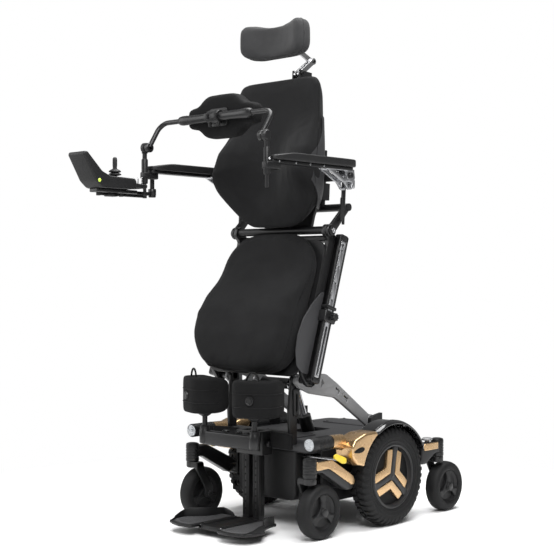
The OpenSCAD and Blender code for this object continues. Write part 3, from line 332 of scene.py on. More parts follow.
def carve(ob, cutter):
    """Takes the shape of a cutter out of a piece."""
    me = bpy.data.meshes.new("cutter")
    cutter.transform(AXLE)
    bmesh.ops.recalc_face_normals(cutter, faces=cutter.faces)
    cutter.to_mesh(me)
    cutter.free()
    tool = bpy.data.objects.new("cutter", me)
    scene.collection.objects.link(tool)
    cut = ob.modifiers.new("cut", "BOOLEAN")
    cut.object = tool
    cut.solver = "EXACT"
    apply_mods(ob)
    bpy.data.objects.remove(tool)
    bpy.data.meshes.remove(me)


# Materials
def node(tree, kind, *first, **named):
    """Adds a shader node. A value that is an output is linked to its socket, and any other is set."""
    made = tree.nodes.new("ShaderNode" + kind)
    given = list(zip(made.inputs, first))
    given += [(made.inputs[key.replace("_", " ")], value) for key, value in named.items()]
    for socket, value in given:
        if isinstance(value, bpy.types.NodeSocket):
            tree.links.new(value, socket)
        else:
            socket.default_value = value
    return made


def emboss(tree, height, distance, strength):
    bump = node(tree, "Bump", Height=height, Distance=distance, Strength=strength)
    tree.links.new(bump.outputs["Normal"], tree.nodes["Principled BSDF"].inputs["Normal"])


def material(name, color, rough, metal=0.0, grain=None, mottle=0.12, wear=0.08, **sockets):
    """A principled surface. grain is (scale per metre, bump distance in metres)."""
    m = bpy.data.materials.new(name)
    m.use_nodes = True
    nt = m.node_tree
    bsdf = nt.nodes["Principled BSDF"]
    bsdf.inputs["Metallic"].default_value = metal
    for key, value in sockets.items():
        bsdf.inputs[key.replace("_", " ")].default_value = value
    where = node(nt, "TexCoord").outputs["Object"]
    cloud = node(nt, "TexNoise", Vector=where, Scale=14, Detail=6).outputs["Fac"]
    ramp = node(nt, "ValToRGB", cloud)
    low, high = ramp.color_ramp.elements
    low.position = 0.3
    high.position = 0.72
    low.color = (*[c * (1 - mottle) for c in color], 1)
    high.color = (*[min(1, c * (1 + mottle)) for c in color], 1)
    nt.links.new(ramp.outputs["Color"], bsdf.inputs["Base Color"])
    span = node(nt, "MapRange", cloud, To_Min=max(0.03, rough - wear), To_Max=min(1, rough + wear))
    nt.links.new(span.outputs["Result"], bsdf.inputs["Roughness"])
    if grain:
        fine = node(nt, "TexNoise", Vector=where, Scale=grain[0], Detail=3)
        emboss(nt, fine.outputs["Fac"], grain[1], 0.6)
    return m


def woven(name, color, pitch=0.0021, depth=0.0004, rough=0.88, sheen=0.25):
    """Stretch fabric: two crossed sets of threads and a soft mottle."""
    gloss = {"Sheen_Weight": sheen, "Sheen_Roughness": 0.45, "Specular_IOR_Level": 0.14}
    m = material(name, color, rough, mottle=0.16, wear=0.05, **gloss)
    nt = m.node_tree
    where = node(nt, "TexCoord").outputs["Object"]
    threads = []
    for way in ("X", "Z"):
        wave = node(nt, "TexWave", Vector=where, Scale=0.314 / pitch, Distortion=1.2, Detail=1)
        wave.bands_direction = way
        threads.append(wave.outputs["Fac"])
    over = node(nt, "Math", *threads)
    over.operation = "MULTIPLY"
    emboss(nt, over.outputs[0], depth, 0.5)
    return m


BLACK = material("powder_black", (0.008, 0.008, 0.0085), 0.42, grain=(900, 0.0002), Specular_IOR_Level=0.35)
SATIN = material("satin_black", (0.01, 0.01, 0.0105), 0.34, grain=(500, 0.0001), Specular_IOR_Level=0.4)
PLASTIC = material("moulded_black", (0.009, 0.009, 0.0095), 0.5, grain=(700, 0.0004), Specular_IOR_Level=0.35)
SOFT_PU = material("arm_foam", (0.011, 0.011, 0.0115), 0.46, grain=(420, 0.0006), Specular_IOR_Level=0.35)
GLOSS = material(
    "gloss_black", (0.009, 0.009, 0.0095), 0.14, mottle=0.05, wear=0.05, Coat_Weight=0.6, Coat_Roughness=0.06,
)
GOLD = material(
    "gold_paint", (0.58, 0.385, 0.2), 0.27, 0.9, (1500, 0.0001), 0.07, 0.05, Coat_Weight=0.3,
    Coat_Roughness=0.12,
)
RUBBER = material("tyre_rubber", (0.006, 0.006, 0.0064), 0.66, grain=(600, 0.0006), Specular_IOR_Level=0.3)
DECK = material("deck_grey", (0.024, 0.024, 0.026), 0.4, grain=(700, 0.0003))
RIM = material("rim_grey", (0.018, 0.018, 0.019), 0.42, grain=(800, 0.0003), Specular_IOR_Level=0.4)
# Near black for thin sheets laid in vent slots, holes and the wheel's dish: painted shade where these
# openings and recesses fall dark
PAINTED_SHADE = material("painted_recess_shade", (0.004, 0.004, 0.004), 0.6, grain=(500, 0.0003), Specular_IOR_Level=0.2)
GREY = material("lift_grey", (0.2, 0.201, 0.205), 0.44, grain=(800, 0.0002))
MID = material("panel_grey", (0.032, 0.032, 0.034), 0.5, grain=(700, 0.0003))
SILVER = material("bare_aluminium", (0.5, 0.505, 0.52), 0.3, 1.0, (400, 0.0001))
STEEL = material("brushed_steel", (0.6, 0.6, 0.61), 0.24, 1.0, (1200, 0.0001))
CHROME = material("polished_rod", (0.75, 0.75, 0.77), 0.1, 1.0, (200, 0.00002), 0.04, 0.04)
YELLOW = material("yellow_plastic", (0.72, 0.53, 0.04), 0.42, grain=(700, 0.0003))
SIGN = material("lime_plastic", (0.55, 0.75, 0.08), 0.35, grain=(300, 0.0002))
SCREEN = material(
    "screen_glass", (0.012, 0.012, 0.014), 0.12, mottle=0.05, wear=0.04, Coat_Weight=0.5, Coat_Roughness=0.04,
)
LENS = material(
    "lamp_lens", (0.93, 0.95, 0.97), 0.06, mottle=0.02, wear=0.03, Transmission_Weight=0.85, IOR=1.49,
)
REFLECT = material(
    "lamp_reflector", (0.9, 0.91, 0.92), 0.2, 0.2, (260, 0.0012), 0.05, 0.05, Emission_Strength=0.1,
)
FABRIC = woven("stretch_fabric", (0.0105, 0.0105, 0.011), sheen=0.03)
NEOPRENE = woven("neoprene", (0.006, 0.006, 0.0063), 0.0016, 0.0003, 0.8, 0.02)
HEAD_COVER = woven("head_cover", (0.036, 0.036, 0.037), 0.0016, 0.0003, 0.75, 0.12)
WEBBING = woven("webbing", (0.008, 0.008, 0.0083), 0.0016, 0.0005, 0.7, 0.05)
MAT = material("foot_mat", (0.058, 0.058, 0.06), 0.6, grain=(240, 0.0012))


def cad(mat, *names):
    """Gives CAD nodes that are shown as they are a finish, with edges softened in the shading."""
    m = bpy.data.materials.get(mat.name + "_edge")
    if m is None:
        m = mat.copy()
        m.name = mat.name + "_edge"
        nt = m.node_tree
        soft_edge = node(nt, "Bevel", Radius=0.0022)
        soft_edge.samples = 4
        bump = [n for n in nt.nodes if n.type == "BUMP"][-1]
        nt.links.new(soft_edge.outputs["Normal"], bump.inputs["Normal"])
    for name in names:
        me = nodes[name].data
        me.materials.clear()
        me.materials.append(m)


# Drive wheels
def tyre_mesh():
    half = [
        (114.2, 29), (119, 32.5), (128, 34.5), (142, 36.6), (151, 36.2), (159, 33), (165, 27.5), (169, 18),
        (170.5, 7),
    ]
    parts = [lathe(full(half) + [half[0]], "X", 96)]
    for r, x in ((126, 34.2), (139, 36.4)):
        bead = [(r - 1.6, x - 1), (r - 1, x + 1.1), (r + 1, x + 1.1), (r + 1.6, x - 1)]
        for s in (1, -1):
            parts.append(lathe([(a, s * b) for a, b in bead], "X", 96))
    # Sections of a tread lug: x, inner and outer radius, then skew and half width in degrees
    lug = [
        (3, 169.5, 175, 0.0, 2.9), (16, 168, 174.6, 1.1, 2.9), (26, 164, 171.5, 2.4, 2.6),
        (34, 156, 163, 3.2, 2.3), (37.5, 148, 152, 3.6, 1.9),
    ]
    lugs = 44
    for s in (1, -1):
        for i in range(lugs):
            mid = i * 360 / lugs + (0 if s > 0 else 180 / lugs)
            rows = []
            for x, r0, r1, skew, wide in lug:
                row = []
                for a, r in ((-wide, r0), (wide, r0), (wide * 0.84, r1), (-wide * 0.84, r1)):
                    t = math.radians(mid + skew + a)
                    row.append((s * x, r * math.cos(t), r * math.sin(t)))
                rows.append(row)
            parts.append(loft(rows))
    return parts


def star(a, points):
    c = math.cos(math.radians(a))
    s = math.sin(math.radians(a))
    return [(u * c - v * s, u * s + v * c) for u, v in points]


def spider(a, arm):
    """The outline of three arms round a hub."""
    return star(a, arm) + star(a + 120, arm) + star(a + 240, arm)


def rim_mesh():
    barrel = [
        (104, -32), (114, -32), (114, 30), (110, 31.5), (105, 30), (103.5, 16), (101, 12), (40, 12), (40, 5),
        (104, 5), (104, -32),
    ]
    arm = [(16, -9), (70, -9), (106, -15), (106, 15), (70, 9), (16, 9)]
    return [
        lathe(barrel, "X", 96),
        plate([fillet(spider(78, arm), [8, 30, 5, 5, 30, 8] * 3)], 11, 25, "X", 3, 3),
        lathe([(0, 25.6), (7, 25.4), (9, 24), (9, 13), (34, 11), (34, -32), (13, -32)], "X", 64),
    ]


def well_mesh():
    return [lathe([(20, 12.2), (20, 13), (101, 13), (101, 12.2), (20, 12.2)], "X", 64)]


def chevron_mesh():
    """Three gold angles between the spokes, sloping back a little toward the rim."""
    parts = []
    for a in (18, 138, 258):
        wide = fillet([(15, 0), (57, 77), (79, 55), (46, 0), (79, -55), (57, -77)], [5, 5, 4, 4, 4, 5])
        bm = plate([star(a, wide)], 12, 25.4, "X", 2.2, 3)
        for v in bm.verts:
            v.co.x -= 0.05 * max(0, math.hypot(v.co.y, v.co.z) - 20)
        parts.append(bm)
    return parts


HUB = spot(302, 0, WHEEL_Z)
pair("tyre_form", "{}_wheel", RUBBER, tyre_mesh, ["{}_tyre"], HUB, 28)
pair("rim_form", "{}_wheel", RIM, rim_mesh, ["{}_rim"], HUB)
# The dark disc on the rim's dish behind the spokes is painted shade
pair("rim_well_shade", "{}_wheel", PAINTED_SHADE, well_mesh, (), HUB)
pair("rim_chevrons", "{}_wheel", GOLD, chevron_mesh, ["{}_rim_inserts"], HUB)


# Casters with their forks and suspension arms
def tread_mesh():
    half = [(60, 23), (63, 25.6), (70, 27.2), (77, 27.4), (83, 25.6), (88, 21), (91, 13), (92, 5)]
    return [lathe(full(half) + [(58, -14), (58, 14), half[0]], "X", 72)]


def caster_hub():
    """Closed wheel centre with three broad arms standing out of a dish."""
    arm = [(14, -13), (34, -8), (59, -19), (60, 0), (59, 19), (34, 8), (14, 13)]
    outline = fillet(spider(90, arm), [10, 26, 4, 0, 4, 26, 10] * 3)
    return [
        lathe(full([(8.1, 12), (30, 10), (50, 11), (58, 18), (62, 21), (63, 12)]), "X", 64),
        plate([outline], 8, 22, "X", 3, 3),
        plate([outline], -22, -8, "X", 3, 3),
        lathe(full([(8.1, 26.4), (11, 26.4), (13, 24), (14, 12)]), "X", 48),
    ]


def fork_mesh():
    leg = [(-18, 209), (-18, 186), (24, 113), (27, 78), (63, 78), (66, 113), (20, 190), (18, 209)]
    crown = [(-41.5, -18), (6, -18), (22, -13), (22, 13), (6, 18), (-41.5, 18)]
    nut = [(8, -42), (8, 28.3), (13, 28.3), (14, 29.4), (14, 31.2), (10, 32.6), (0, 32.6)]
    return [
        plate([fillet(leg, [10, 16, 14, 16, 16, 14, 18, 10])], -41.5, -31.5, "X", 3, 3),
        plate([fillet(crown, [7, 8, 12, 12, 8, 7])], 188, 209, "Z", 4, 3),
        lathe([(16, 186.5), (21, 189), (22, 208), (15, 209), (11, 209.2), (11, 240)], "Z", 40),
        lathe([(0, -46), (7, -46), (8.5, -44), (8.5, -41), (15, -41), (15, -30)], "X", 32, CASTER_AXLE),
        lathe(nut, "X", 32, CASTER_AXLE),
    ]


def arm_mesh(sx, sy, link):
    """A suspension arm behind the axle. A front arm is the same turned about."""
    top = link + 35
    web = [
        (sy + 2, 226), (sy + 2, 262), (sy - 60, 266), (200, top + 15), (190, top + 5), (190, link),
        (222, link), (sy - 40, 224),
    ]
    if link > 180:
        web[3:5] = [(206, 266), (196, 254)]
    inner = [(118, 140), (148, 150), (185, link), (222, link), (222, top), (170, top), (128, 187), (118, 190)]
    eye = [(14.1, 221.4), (22, 221.4), (25, 224), (25, 246), (22, 249.4), (14.1, 249.4)]
    post = [(11.1, 209.4), (22, 209.4), (24, 211.4)]
    for z in (222, 232, 242, 252):
        post += [(24, z), (22.6, z + 1.2), (22.6, z + 2.8), (24, z + 4)]
    post += [(24, 268), (22, 274), (15, 276.4), (0, 277)]
    return [
        plate([fillet(web, [6, 10, 60, 18, 8, 12, 16, 30], 7)], sx - 18, sx + 20, "X", 6, 3),
        plate([fillet(inner, [20, 20, 16, 14, 10, 16, 14, 10], 6)], 222, 248, "X", 4, 3),
        block(224, sx + 18, 191, 221, link + 0.5, top - 0.5, 6, 3),
        lathe(eye, "X", 40, (0, 118, 165)),
        lathe(post, "Z", 48, (sx, sy, 0)),
    ]


def trim_mesh(sx, sy, link):
    """Bent gold strip on the outside of an arm's web. The rear one is straight."""
    if link > 180:
        edge = [(sy - 26, 266), (sy - 108, 266), (sy - 116, 258), (sy - 112, 240), (sy - 26, 240)]
        radii = [4, 10, 8, 10, 4]
    else:
        edge = [
            (sy - 8, 264), (sy - 88, 263), (196, link + 48), (187, link + 30), (190, link + 18),
            (206, link + 18), (sy - 72, 236), (sy - 8, 234),
        ]
        radii = [6, 22, 8, 6, 6, 10, 26, 6]
    return [plate([fillet(edge, radii, 6)], sx + 19, sx + 25, "X", 2.2, 3)]


# Each end's swivel, as x and distance from the axle, and the height of its arm's link
for end, sx, sy, link in (("front", 284, 395, 150), ("rear", 293, 318, 190)):
    front = end == "front"
    turned = AXLE @ Matrix.Diagonal((1, -1, 1, 1)) if front else AXLE
    stem = spot(sx, -sy if front else sy, 0)
    wheel = stem @ Matrix.Translation(CASTER_AXLE)
    for s, side in SIDES:
        c = end + "_" + side
        arm_parts = arm_mesh(sx, sy, link)
        trim = trim_mesh(sx, sy, link)
        if front:
            for bm in arm_parts + trim:
                bmesh.ops.reverse_faces(bm, faces=bm.faces)
        piece(c + "_arm_form", c + "_arm", SATIN, arm_parts, [c + "_arm"], turned, s)
        piece(c + "_arm_trim", c + "_arm", GOLD, trim, (), turned, s)
        piece(c + "_fork_form", c + "_fork", SATIN, fork_mesh(), [c + "_fork"], stem, s)
        piece(c + "_caster_tread", c + "_caster", RUBBER, tread_mesh(), [c + "_caster"], wheel, s)
        piece(c + "_caster_hub", c + "_caster", PLASTIC, caster_hub(), (), wheel, s)
        if not front:
            knob = [(0, 283), (16, 282), (21, 278), (20, 273), (9, 271), (9, 262)]
            knob = lathe(knob, "Z", 40, (sx - 4, sy - 58, 0))
            piece(c + "_arm_cap", c + "_arm", GREY, [knob], (), AXLE, s)


# Base: deck, front and rear covers, side skirts
def deck_mesh():
    right = [(205, -305), (205, 43), (148, 43), (148, 125), (205, 125), (205, 285)]
    outer = right + [(-x, y) for x, y in right[::-1]]
    front = fillet([(-128, -296), (128, -296), (120, -168), (-120, -168)], 16)
    parts = [
        plate([fillet(outer, [40, 13, 8, 8, 13, 40] * 2, 7)], 270, 318, "Z", 9, 4),
        plate([front], 314, 322, "Z", 2.5, 3),
        plate([box2(-128, 128, 140, 270, 18)], 314, 322, "Z", 2.5, 3),
    ]
    for x in (-108, 108):
        for y in (-282, -184, 154, 256):
            parts.append(bolt(x, y, 321.5, 5, 3, "Z"))
    return parts


def skirt_mesh():
    skirt = fillet([(-246, 120), (-222, 95), (-62, 95), (-62, 278), (-246, 278)], [10, 14, 14, 4, 4])
    return [plate([skirt, ring(-118, 165, 23, 32)], 200, 208, "X", 2.4)]


def cover_mesh():
    face = fillet([(-138, 100), (138, 100), (138, 280), (-138, 280)], [34, 34, 11, 11], 7)
    parts = [
        plate([face], -305, -257, "Y", 9, 4),
        plate([face], 247, 285, "Y", 9, 4),
        plate([box2(-128, 128, 176, 268, 10)], -262, -240, "Y", 2),
    ]
    return parts + mirrored(skirt_mesh)


def vent_mesh():
    return [plate([box2(-92, 92, z, z + 7, 3.4)], 284, 286.2, "Y", 0.6) for z in range(136, 222, 17)]


deck = piece("base_deck", "chassis", DECK, deck_mesh(), ["base_shroud"])
carve(deck, block(-42, 42, -150, 0, 255, 330, 8))
piece("base_covers", "chassis", PLASTIC, cover_mesh())
# The vents are dark sheets on the cover: painted shade in the slots
piece("base_vent_shade", "chassis", PAINTED_SHADE, vent_mesh())
cad(BLACK, "chassis_frame")
cad(PLASTIC, "batteries")
cad(MID, "drive_motors")


# Fenders, gold covers, headlights and release levers
def wheel_arc(r, a0, a1, n):
    out = []
    for i in range(n + 1):
        t = math.radians(a0 + (a1 - a0) * i / n)
        out.append((r * math.cos(t), WHEEL_Z + r * math.sin(t)))
    return out


def round_wheel(section, a0, span, pinch=0.0):
    """A section of (x, radius) points swept round the drive axle, pinched at its ends."""
    steps = 44
    rows = []
    for i in range(steps + 1):
        a = math.radians(a0 + span * i / steps)
        k = 1 - pinch * max(0, abs(i / steps - 0.5) - 0.46) / 0.04
        rows.append([(300 + (x - 300) * k, r * math.cos(a), WHEEL_Z + r * math.sin(a)) for x, r in section])
    return loft(rows)


def fender_mesh():
    shell = [(256, 184.4), (344, 184.4), (344, 190), (334, 196), (266, 196), (256, 190)]
    web = [(-110, 302)] + wheel_arc(190, 122, 40, 20) + [(146, 302)]
    rib = fillet([(312, 195), (330, 194), (328, 197.6), (314, 198.2)], 1.5, 3)
    return [
        round_wheel(fillet(shell, [2, 2, 5, 14, 14, 5], 4), 25, 98, 0.12),
        plate([fillet(web, [6] + [0] * 21 + [6])], 254, 260, "X", 1.2),
        block(205, 256, -85, 45, 300, 312, 3),
        round_wheel(rib, 30, 90),
    ]


def gold_mesh():
    side = wheel_arc(186, 123, 163, 14)
    side += [(-214, 238), (-238, 262), (-243, 302), (-226, 324), (-168, 343), (-108, 344)]
    radii = [4] + [0] * 13 + [8, 22, 26, 20, 24, 60, 6]
    neck = [
        (-236, 23.5, 28, 314), (-254, 23.4, 26, 316.5), (-276, 23.3, 24.2, 318.6), (-297, 23.2, 23.4, 320),
    ]
    rows = []
    for y, w, h, z in neck:
        row = []
        for t in turns(32):
            row.append((285.2 + w * power(math.cos(t), 0.8), y, z + h * power(math.sin(t), 0.8)))
        rows.append(row)
    return [plate([fillet(side, radii, 6)], 262, 345, "X", 8, 4), loft(rows)]


def vent_oval():
    pts = []
    for t in turns(40):
        u = 28 * math.cos(t)
        v = 9 * math.sin(t) * (1 + 0.3 * math.cos(t))
        pts.append((-208 + u * 0.99 - v * 0.12, 288 + u * 0.12 + v * 0.99))
    return [plate([pts], 343, 346.2, "X", 0.8)]


def lamp_mesh():
    prof = [(0, -297), (22, -297), (24, -299), (24, -306)]
    for i in range(7):
        y = -309 - 9 * i
        prof += [(24, y), (22, y - 1.5), (22, y - 4.5), (24, y - 6)]
    prof += [(24, -380), (24, -396), (23, -399.5), (21.6, -400.5), (20.8, -399), (20.6, -388)]
    return [lathe(prof, "Y", 48, LAMP)]


def lamp_glass():
    prof = [
        (20.8, -398.5), (20, -401.5), (15, -405.5), (8, -407.4), (0, -408), (0, -404.5), (8, -404),
        (15, -402.4), (20.8, -398.5),
    ]
    return [lathe(prof, "Y", 48, LAMP)]


def lamp_mirror():
    prof = [(20.4, -397.6), (18, -391), (13, -386), (6, -383.4), (6, -392), (4, -395), (0, -396)]
    return [lathe(prof, "Y", 48, LAMP)]


def lever_mesh():
    side = [(-247, 246), (-247, 265), (-296, 283), (-309, 279), (-307, 268), (-264, 246)]
    return [
        plate([fillet(side, [6, 8, 7, 7, 6, 10])], 312, 320, "X", 2, 3),
        lathe([(0, 322), (6, 322), (9, 320.5), (9, 311), (5, 310)], "X", 32, LEVER),
    ]


pair("fender_form", "chassis", GLOSS, fender_mesh, ["{}_fender"])
pair("gold_cover", "chassis", GOLD, gold_mesh, ["{}_fender_cover"])
# The dark oval on each gold cover is painted shade in its vent opening
pair("cover_vent_shade", "chassis", PAINTED_SHADE, vent_oval)
pair("lamp_body", "chassis", PLASTIC, lamp_mesh, ["headlight_bodies"])
pair("lamp_lens", "chassis", LENS, lamp_glass, ["headlight_lenses"])
pair("lamp_reflector", "chassis", REFLECT, lamp_mirror)
pair("release_lever", "release_levers", YELLOW, lever_mesh, ["release_levers"])
shaft = tube([(-312, *LEVER[1:]), (312, *LEVER[1:])], 5)
piece("lever_shaft", "release_levers", STEEL, [shaft])


# Lift arm and actuator
def lift_side():
    side = [
        (97, 345), (87, 372), (60, 378), (-116, 500), (-178, 538), (-300, 547), (-338, 540), (-343, 515),
        (-322, 498), (-264, 474), (-129, 450), (60, 328), (85, 327),
    ]
    loops = [
        fillet(side, [12, 14, 14, 50, 40, 16, 14, 14, 14, 40, 50, 14, 12], 6),
        fillet([(-263, 523), (-222, 510), (-262, 498)], [3, 4, 3]),
        fillet([(-200, 524), (-190, 506), (-211, 486), (-204, 506)], 2),
        fillet([(-126, 487), (-103, 472), (-112, 460), (-115, 463), (-110, 472), (-128, 483)], 1.2),
        fillet([(-80, 456), (-57, 441), (-66, 429), (-69, 432), (-64, 441), (-82, 452)], 1.2),
    ]
    return [
        plate(loops, 158, 172, "X", 3, 3),
        lathe([(12.2, 173.6), (22, 173.6), (24, 171), (24, 158)], "X", 40, LIFT_PIVOT),
        lathe([(0, 175), (17, 175), (20, 173), (20, 170)], "X", 40, KNEE),
        bolt(172, -90, 466, 5, 3),
        bolt(172, -300, 534, 5, 3),
    ]


def lift_tubes():
    parts = [tube([(-158, -150, 490), (158, -150, 490)], 20, 0, 8)]
    for s in (1, -1):
        parts.append(tube([(s * 140, *KNEE[1:]), (s * 223, *KNEE[1:])], 12, 0, 6))
    return parts


def lift_bolt():
    return [bolt(173, *LIFT_PIVOT[1:], 14, 6)]


piece("lift_form", "lift", GREY, mirrored(lift_side), ["lift_arm"])
piece("lift_tubes", "lift", SATIN, lift_tubes())
pair("lift_bolt", "lift", CHROME, lift_bolt)
cad(SATIN, "lift_actuator_tube")
cad(CHROME, "lift_actuator_rod")


# Leg support
def leg_side():
    side = [
        (-340, 525), (-332, 542), (-304, 542), (-296, 525), (-310, 420), (-310, 300), (-345, 300),
        (-352, 420),
    ]
    collar = [(9.1, 362), (14, 362), (17, 358), (17, 349), (19, 346), (19, 303), (17, 300), (9.1, 300)]
    link = fillet([(-336, 496), (-302, 496), (-308, 398), (-330, 398)], [12, 12, 10, 10])
    return [
        plate([fillet(side, [18, 14, 14, 18, 40, 6, 6, 40])], 140, 152, "X", 3, 3),
        lathe(collar, "Z", 40, KNEE_POST),
        lathe([(0, 352), (11, 352), (14, 349), (14, 340)], "Z", 32, (30, -474, 0)),
        lathe([(0, 160), (11, 160), (13, 158), (20, 157.4), (22, 155), (22, 150)], "X", 40, KNEE),
        plate([link, box2(-324, -314, 414, 478, 4.8)], 151, 158, "X", 1.6),
        bolt(157.6, -319, 406, 4.5, 3),
        bolt(48, -393, 280, 5, 4, "Y", -1),
        bolt(48, -393, 326, 5, 4, "Y", -1),
        lathe([(0, 78), (9, 78), (11, 76), (11, 66), (5, 64), (5, 60)], "X", 24, (0, -366, 302)),
    ]


def leg_mesh():
    wells = [box2(x - 17, x + 17, -388, -352, 4) for x in (-24.5, 24.5)]
    parts = [
        plate([box2(-62, 62, -393, -337, 5)] + wells, 262, 345, "Z", 2, 2),
        block(-141, 141, -341, -310, 300, 345, 4, 3),
        block(-122, 122, -504, -476, 296, 345, 6, 3),
        block(-45, 45, -478, -390, 300, 345, 4, 3),
    ]
    return parts + mirrored(leg_side)


def column_side():
    return [
        plate([box2(9, 40, -385, -354, 4)], 22, 340, "Z", 1.5, 2),
        block(37, 58, -580, -566, 22, 38, 2),
        block(37, 58, -406, -392, 22, 38, 2),
    ]


def column_slots():
    parts = [plate([box2(x - 1.6, x + 1.6, 48, 256, 1.4)], -385.9, -384, "Y", 0.5) for x in (17, 32)]
    hole = [(0, -386.4), (2.4, -386.4), (3.2, -385.9), (3.2, -384)]
    for z in range(70, 250, 24):
        parts.append(lathe(hole, "Y", 16, (24.5, 0, z)))
    parts.append(plate([box2(-372, -368, 48, 256, 1.8)], 39, 40.8, "X", 0.5))
    return parts


def hinge_rods():
    return [tube([(s * 50, -580, 32), (s * 50, -390, 32)], 5.9, 0, 4) for s in (1, -1)]


piece("leg_carrier_form", "legs", SATIN, leg_mesh(), ["leg_carrier"])
column = mirrored(column_side) + [block(-38, 38, -580, -345, 22, 38, 3)]
piece("leg_column_form", "leg_column", BLACK, column, ["leg_column"])
# The dark strips and rings on the column are painted shade in its slots and holes
piece("leg_column_slot_shade", "leg_column", PAINTED_SHADE, mirrored(column_slots))
piece("foot_hinge_rods", "leg_column", STEEL, hinge_rods())


def sweep_edge(r, n=14):
    """Arc of the footplate edge that clears a turning front caster."""
    out = []
    a0 = math.atan2(math.sqrt(r * r - 89 * 89), 89)
    a1 = math.acos(min(1, 150 / r))
    for i in range(n + 1):
        t = a0 + (a1 - a0) * i / n
        out.append((284 - r * math.cos(t), -395 - r * math.sin(t)))
    return out


def foot_wall():
    """The raised rim along a footplate's outer edge and heel, falling away at both ends."""
    path = [(176 + 1.9 * i, -601 + 8 * i) for i in range(4)] + [(187.5 + i, -569 + 9 * i) for i in range(4)]
    path += sweep_edge(155, 16) + [(122 - 8 * i, -397) for i in range(8)]
    last = len(path) - 1
    rows = []
    for i, (x, y) in enumerate(path):
        d = (Vector(path[min(last, i + 1)]) - Vector(path[max(0, i - 1)])).normalized()
        end = min(1, (last - i) / 17)
        top = 40 + 28 * smooth(i / 12) * math.sqrt(end * (2 - end))
        sec = [(-2.4, 30), (2.4, 30), (2.4, top - 2), (1.4, top), (-1.4, top), (-2.4, top - 2)]
        rows.append([(x + d.y * u, y - d.x * u, z) for u, z in sec])
    return loft(rows)


def footplate_mesh():
    arc = sweep_edge(151)
    outline = [(62, -614), (118, -620), (172, -606), (194, -572)] + arc + [(133, -393), (62, -393)]
    radii = [12, 60, 40, 40] + [0] * len(arc) + [6, 10]
    return [
        plate([fillet(outline, radii)], 28, 38, "Z", 2.5, 3),
        lathe([(6.1, -565), (11, -565), (11, -407), (6.1, -407)], "Y", 32, (50, 0, 32)),
        block(50, 92, -565, -407, 28, 37.6, 2),
        foot_wall(),
    ]


def mat_mesh():
    edge = [
        (72, -604), (116, -610), (162, -598), (180, -566), (180, -534), (128, -470), (118, -404), (72, -404),
    ]
    parts = [plate([fillet(edge, [10, 40, 30, 16, 20, 30, 6, 6])], 37, 40, "Z", 1)]
    for i in range(11):
        x = 77 + i * 9.2
        rear = -408 if x < 116 else -478 - (x - 128) * 1.05
        front = -596 if x < 130 else -596 + (x - 130) * 0.6
        parts.append(block(x, x + 4.4, front, rear, 39, 41.2, 0.9, 1))
    return parts


def bracket_mesh():
    flange = [(0, 407.6), (22, 407.6), (24, 406), (24, 402.5), (18, 397.5), (12, 394)]
    return [lathe(flange + [(9, 392.6), (9, 331), (8, 330), (0, 330)], "Z", 32, KNEE_POST)]


pair("footplate_form", "{}_foot", BLACK, footplate_mesh, ["{}_footplate"])
pair("foot_mat", "{}_foot", MAT, mat_mesh)
pair("knee_bracket_form", "{}_knee", SATIN, bracket_mesh, ["{}_knee_bracket"])


# Soft pads: rings of points, finer than the CAD solids, in the same places.
# Each level is a share of the outline and a share of the thickness.
CROWN = [
    (0.93, 0.0), (0.96, 0.03), (0.98, 0.08), (0.993, 0.15), (1.0, 0.25), (1.0, 0.4), (1.0, 0.55), (1.0, 0.68),
    (0.996, 0.78), (0.985, 0.86), (0.965, 0.92), (0.93, 0.962), (0.87, 0.985), (0.75, 0.994), (0.55, 0.998),
    (0.3, 1.0),
]
BACK_CROWN = [
    (0.72, 0.0), (0.79, 0.12), (0.86, 0.24), (0.92, 0.36), (0.97, 0.48), (0.99, 0.54), (1.0, 0.62),
    (1.0, 0.74), (0.998, 0.84), (0.985, 0.92), (0.962, 0.96), (0.925, 0.985), (0.85, 0.995), (0.7, 0.999),
    (0.45, 1.0), (0.2, 1.0),
]
CUP = [
    (0.84, 0.0), (0.9, 0.008), (0.945, 0.03), (0.972, 0.06), (0.99, 0.11), (1, 0.2), (1, 0.35), (1, 0.5),
    (1, 0.65), (1, 0.8), (0.99, 0.89), (0.972, 0.94), (0.945, 0.97), (0.9, 0.992), (0.84, 1.0),
]

PAD_RING = 96


def cushion(point, levels=CROWN):
    """Skin over rings of a pad, closed by a fan of faces at each end."""
    bm = bmesh.new()
    rows = [[bm.verts.new(point(t, k, h)) for t in turns(PAD_RING)] for k, h in levels]
    skin(bm, rows)
    for row, h in ((rows[0], levels[0][1]), (rows[-1], levels[-1][1])):
        mid = bm.verts.new(point(math.pi / 2, 0, h))
        for j in range(len(row)):
            bm.faces.new((row[j], row[(j + 1) % len(row)], mid))
    return bm


def seat_point(t, k, h):
    s = 258 * power(math.sin(t), 0.48) * k
    waist = 1 - 0.035 * math.exp(-(((s - 40) / 90) ** 2)) - 0.07 * smooth((s - 110) / 130)
    round_end = 0.46 + 0.14 * smooth(math.sin(t))
    x = 222 * power(math.cos(t), round_end) * k * waist
    swell = smooth((140 - s) / 210) - 0.3 * smooth((-130 - s) / 110)
    thick = 48 + 76 * swell
    dip = 5 * math.exp(-((x / 120) ** 2)) * math.exp(-(((s - 40) / 170) ** 2))
    return (x, -66.4 - (thick - dip) * h, 248 + s)


def back_half(z):
    u = z / 536
    return 212 * (0.80 + 0.20 * smooth(u / 0.28) - 0.08 * smooth((u - 0.45) / 0.4))


def back_point(t, k, h):
    crisp = 0.42 - 0.24 * smooth(math.sin(t) * 1.6 + 0.2)
    z = 268 * (1 + power(math.sin(t), crisp) * k)
    x = back_half(z) * power(math.cos(t), crisp) * k
    loin = math.exp(-(((z - 200) / 125) ** 2))
    thick = 94 + 112 * loin * smooth((abs(x) - 10) / 192) - 10 * smooth((70 - z) / 70)
    deep = 124 * h if h < 0.5 else 62 + (thick - 62) * (2 * h - 1)
    return (x, 29.7 - deep, 8 + z)


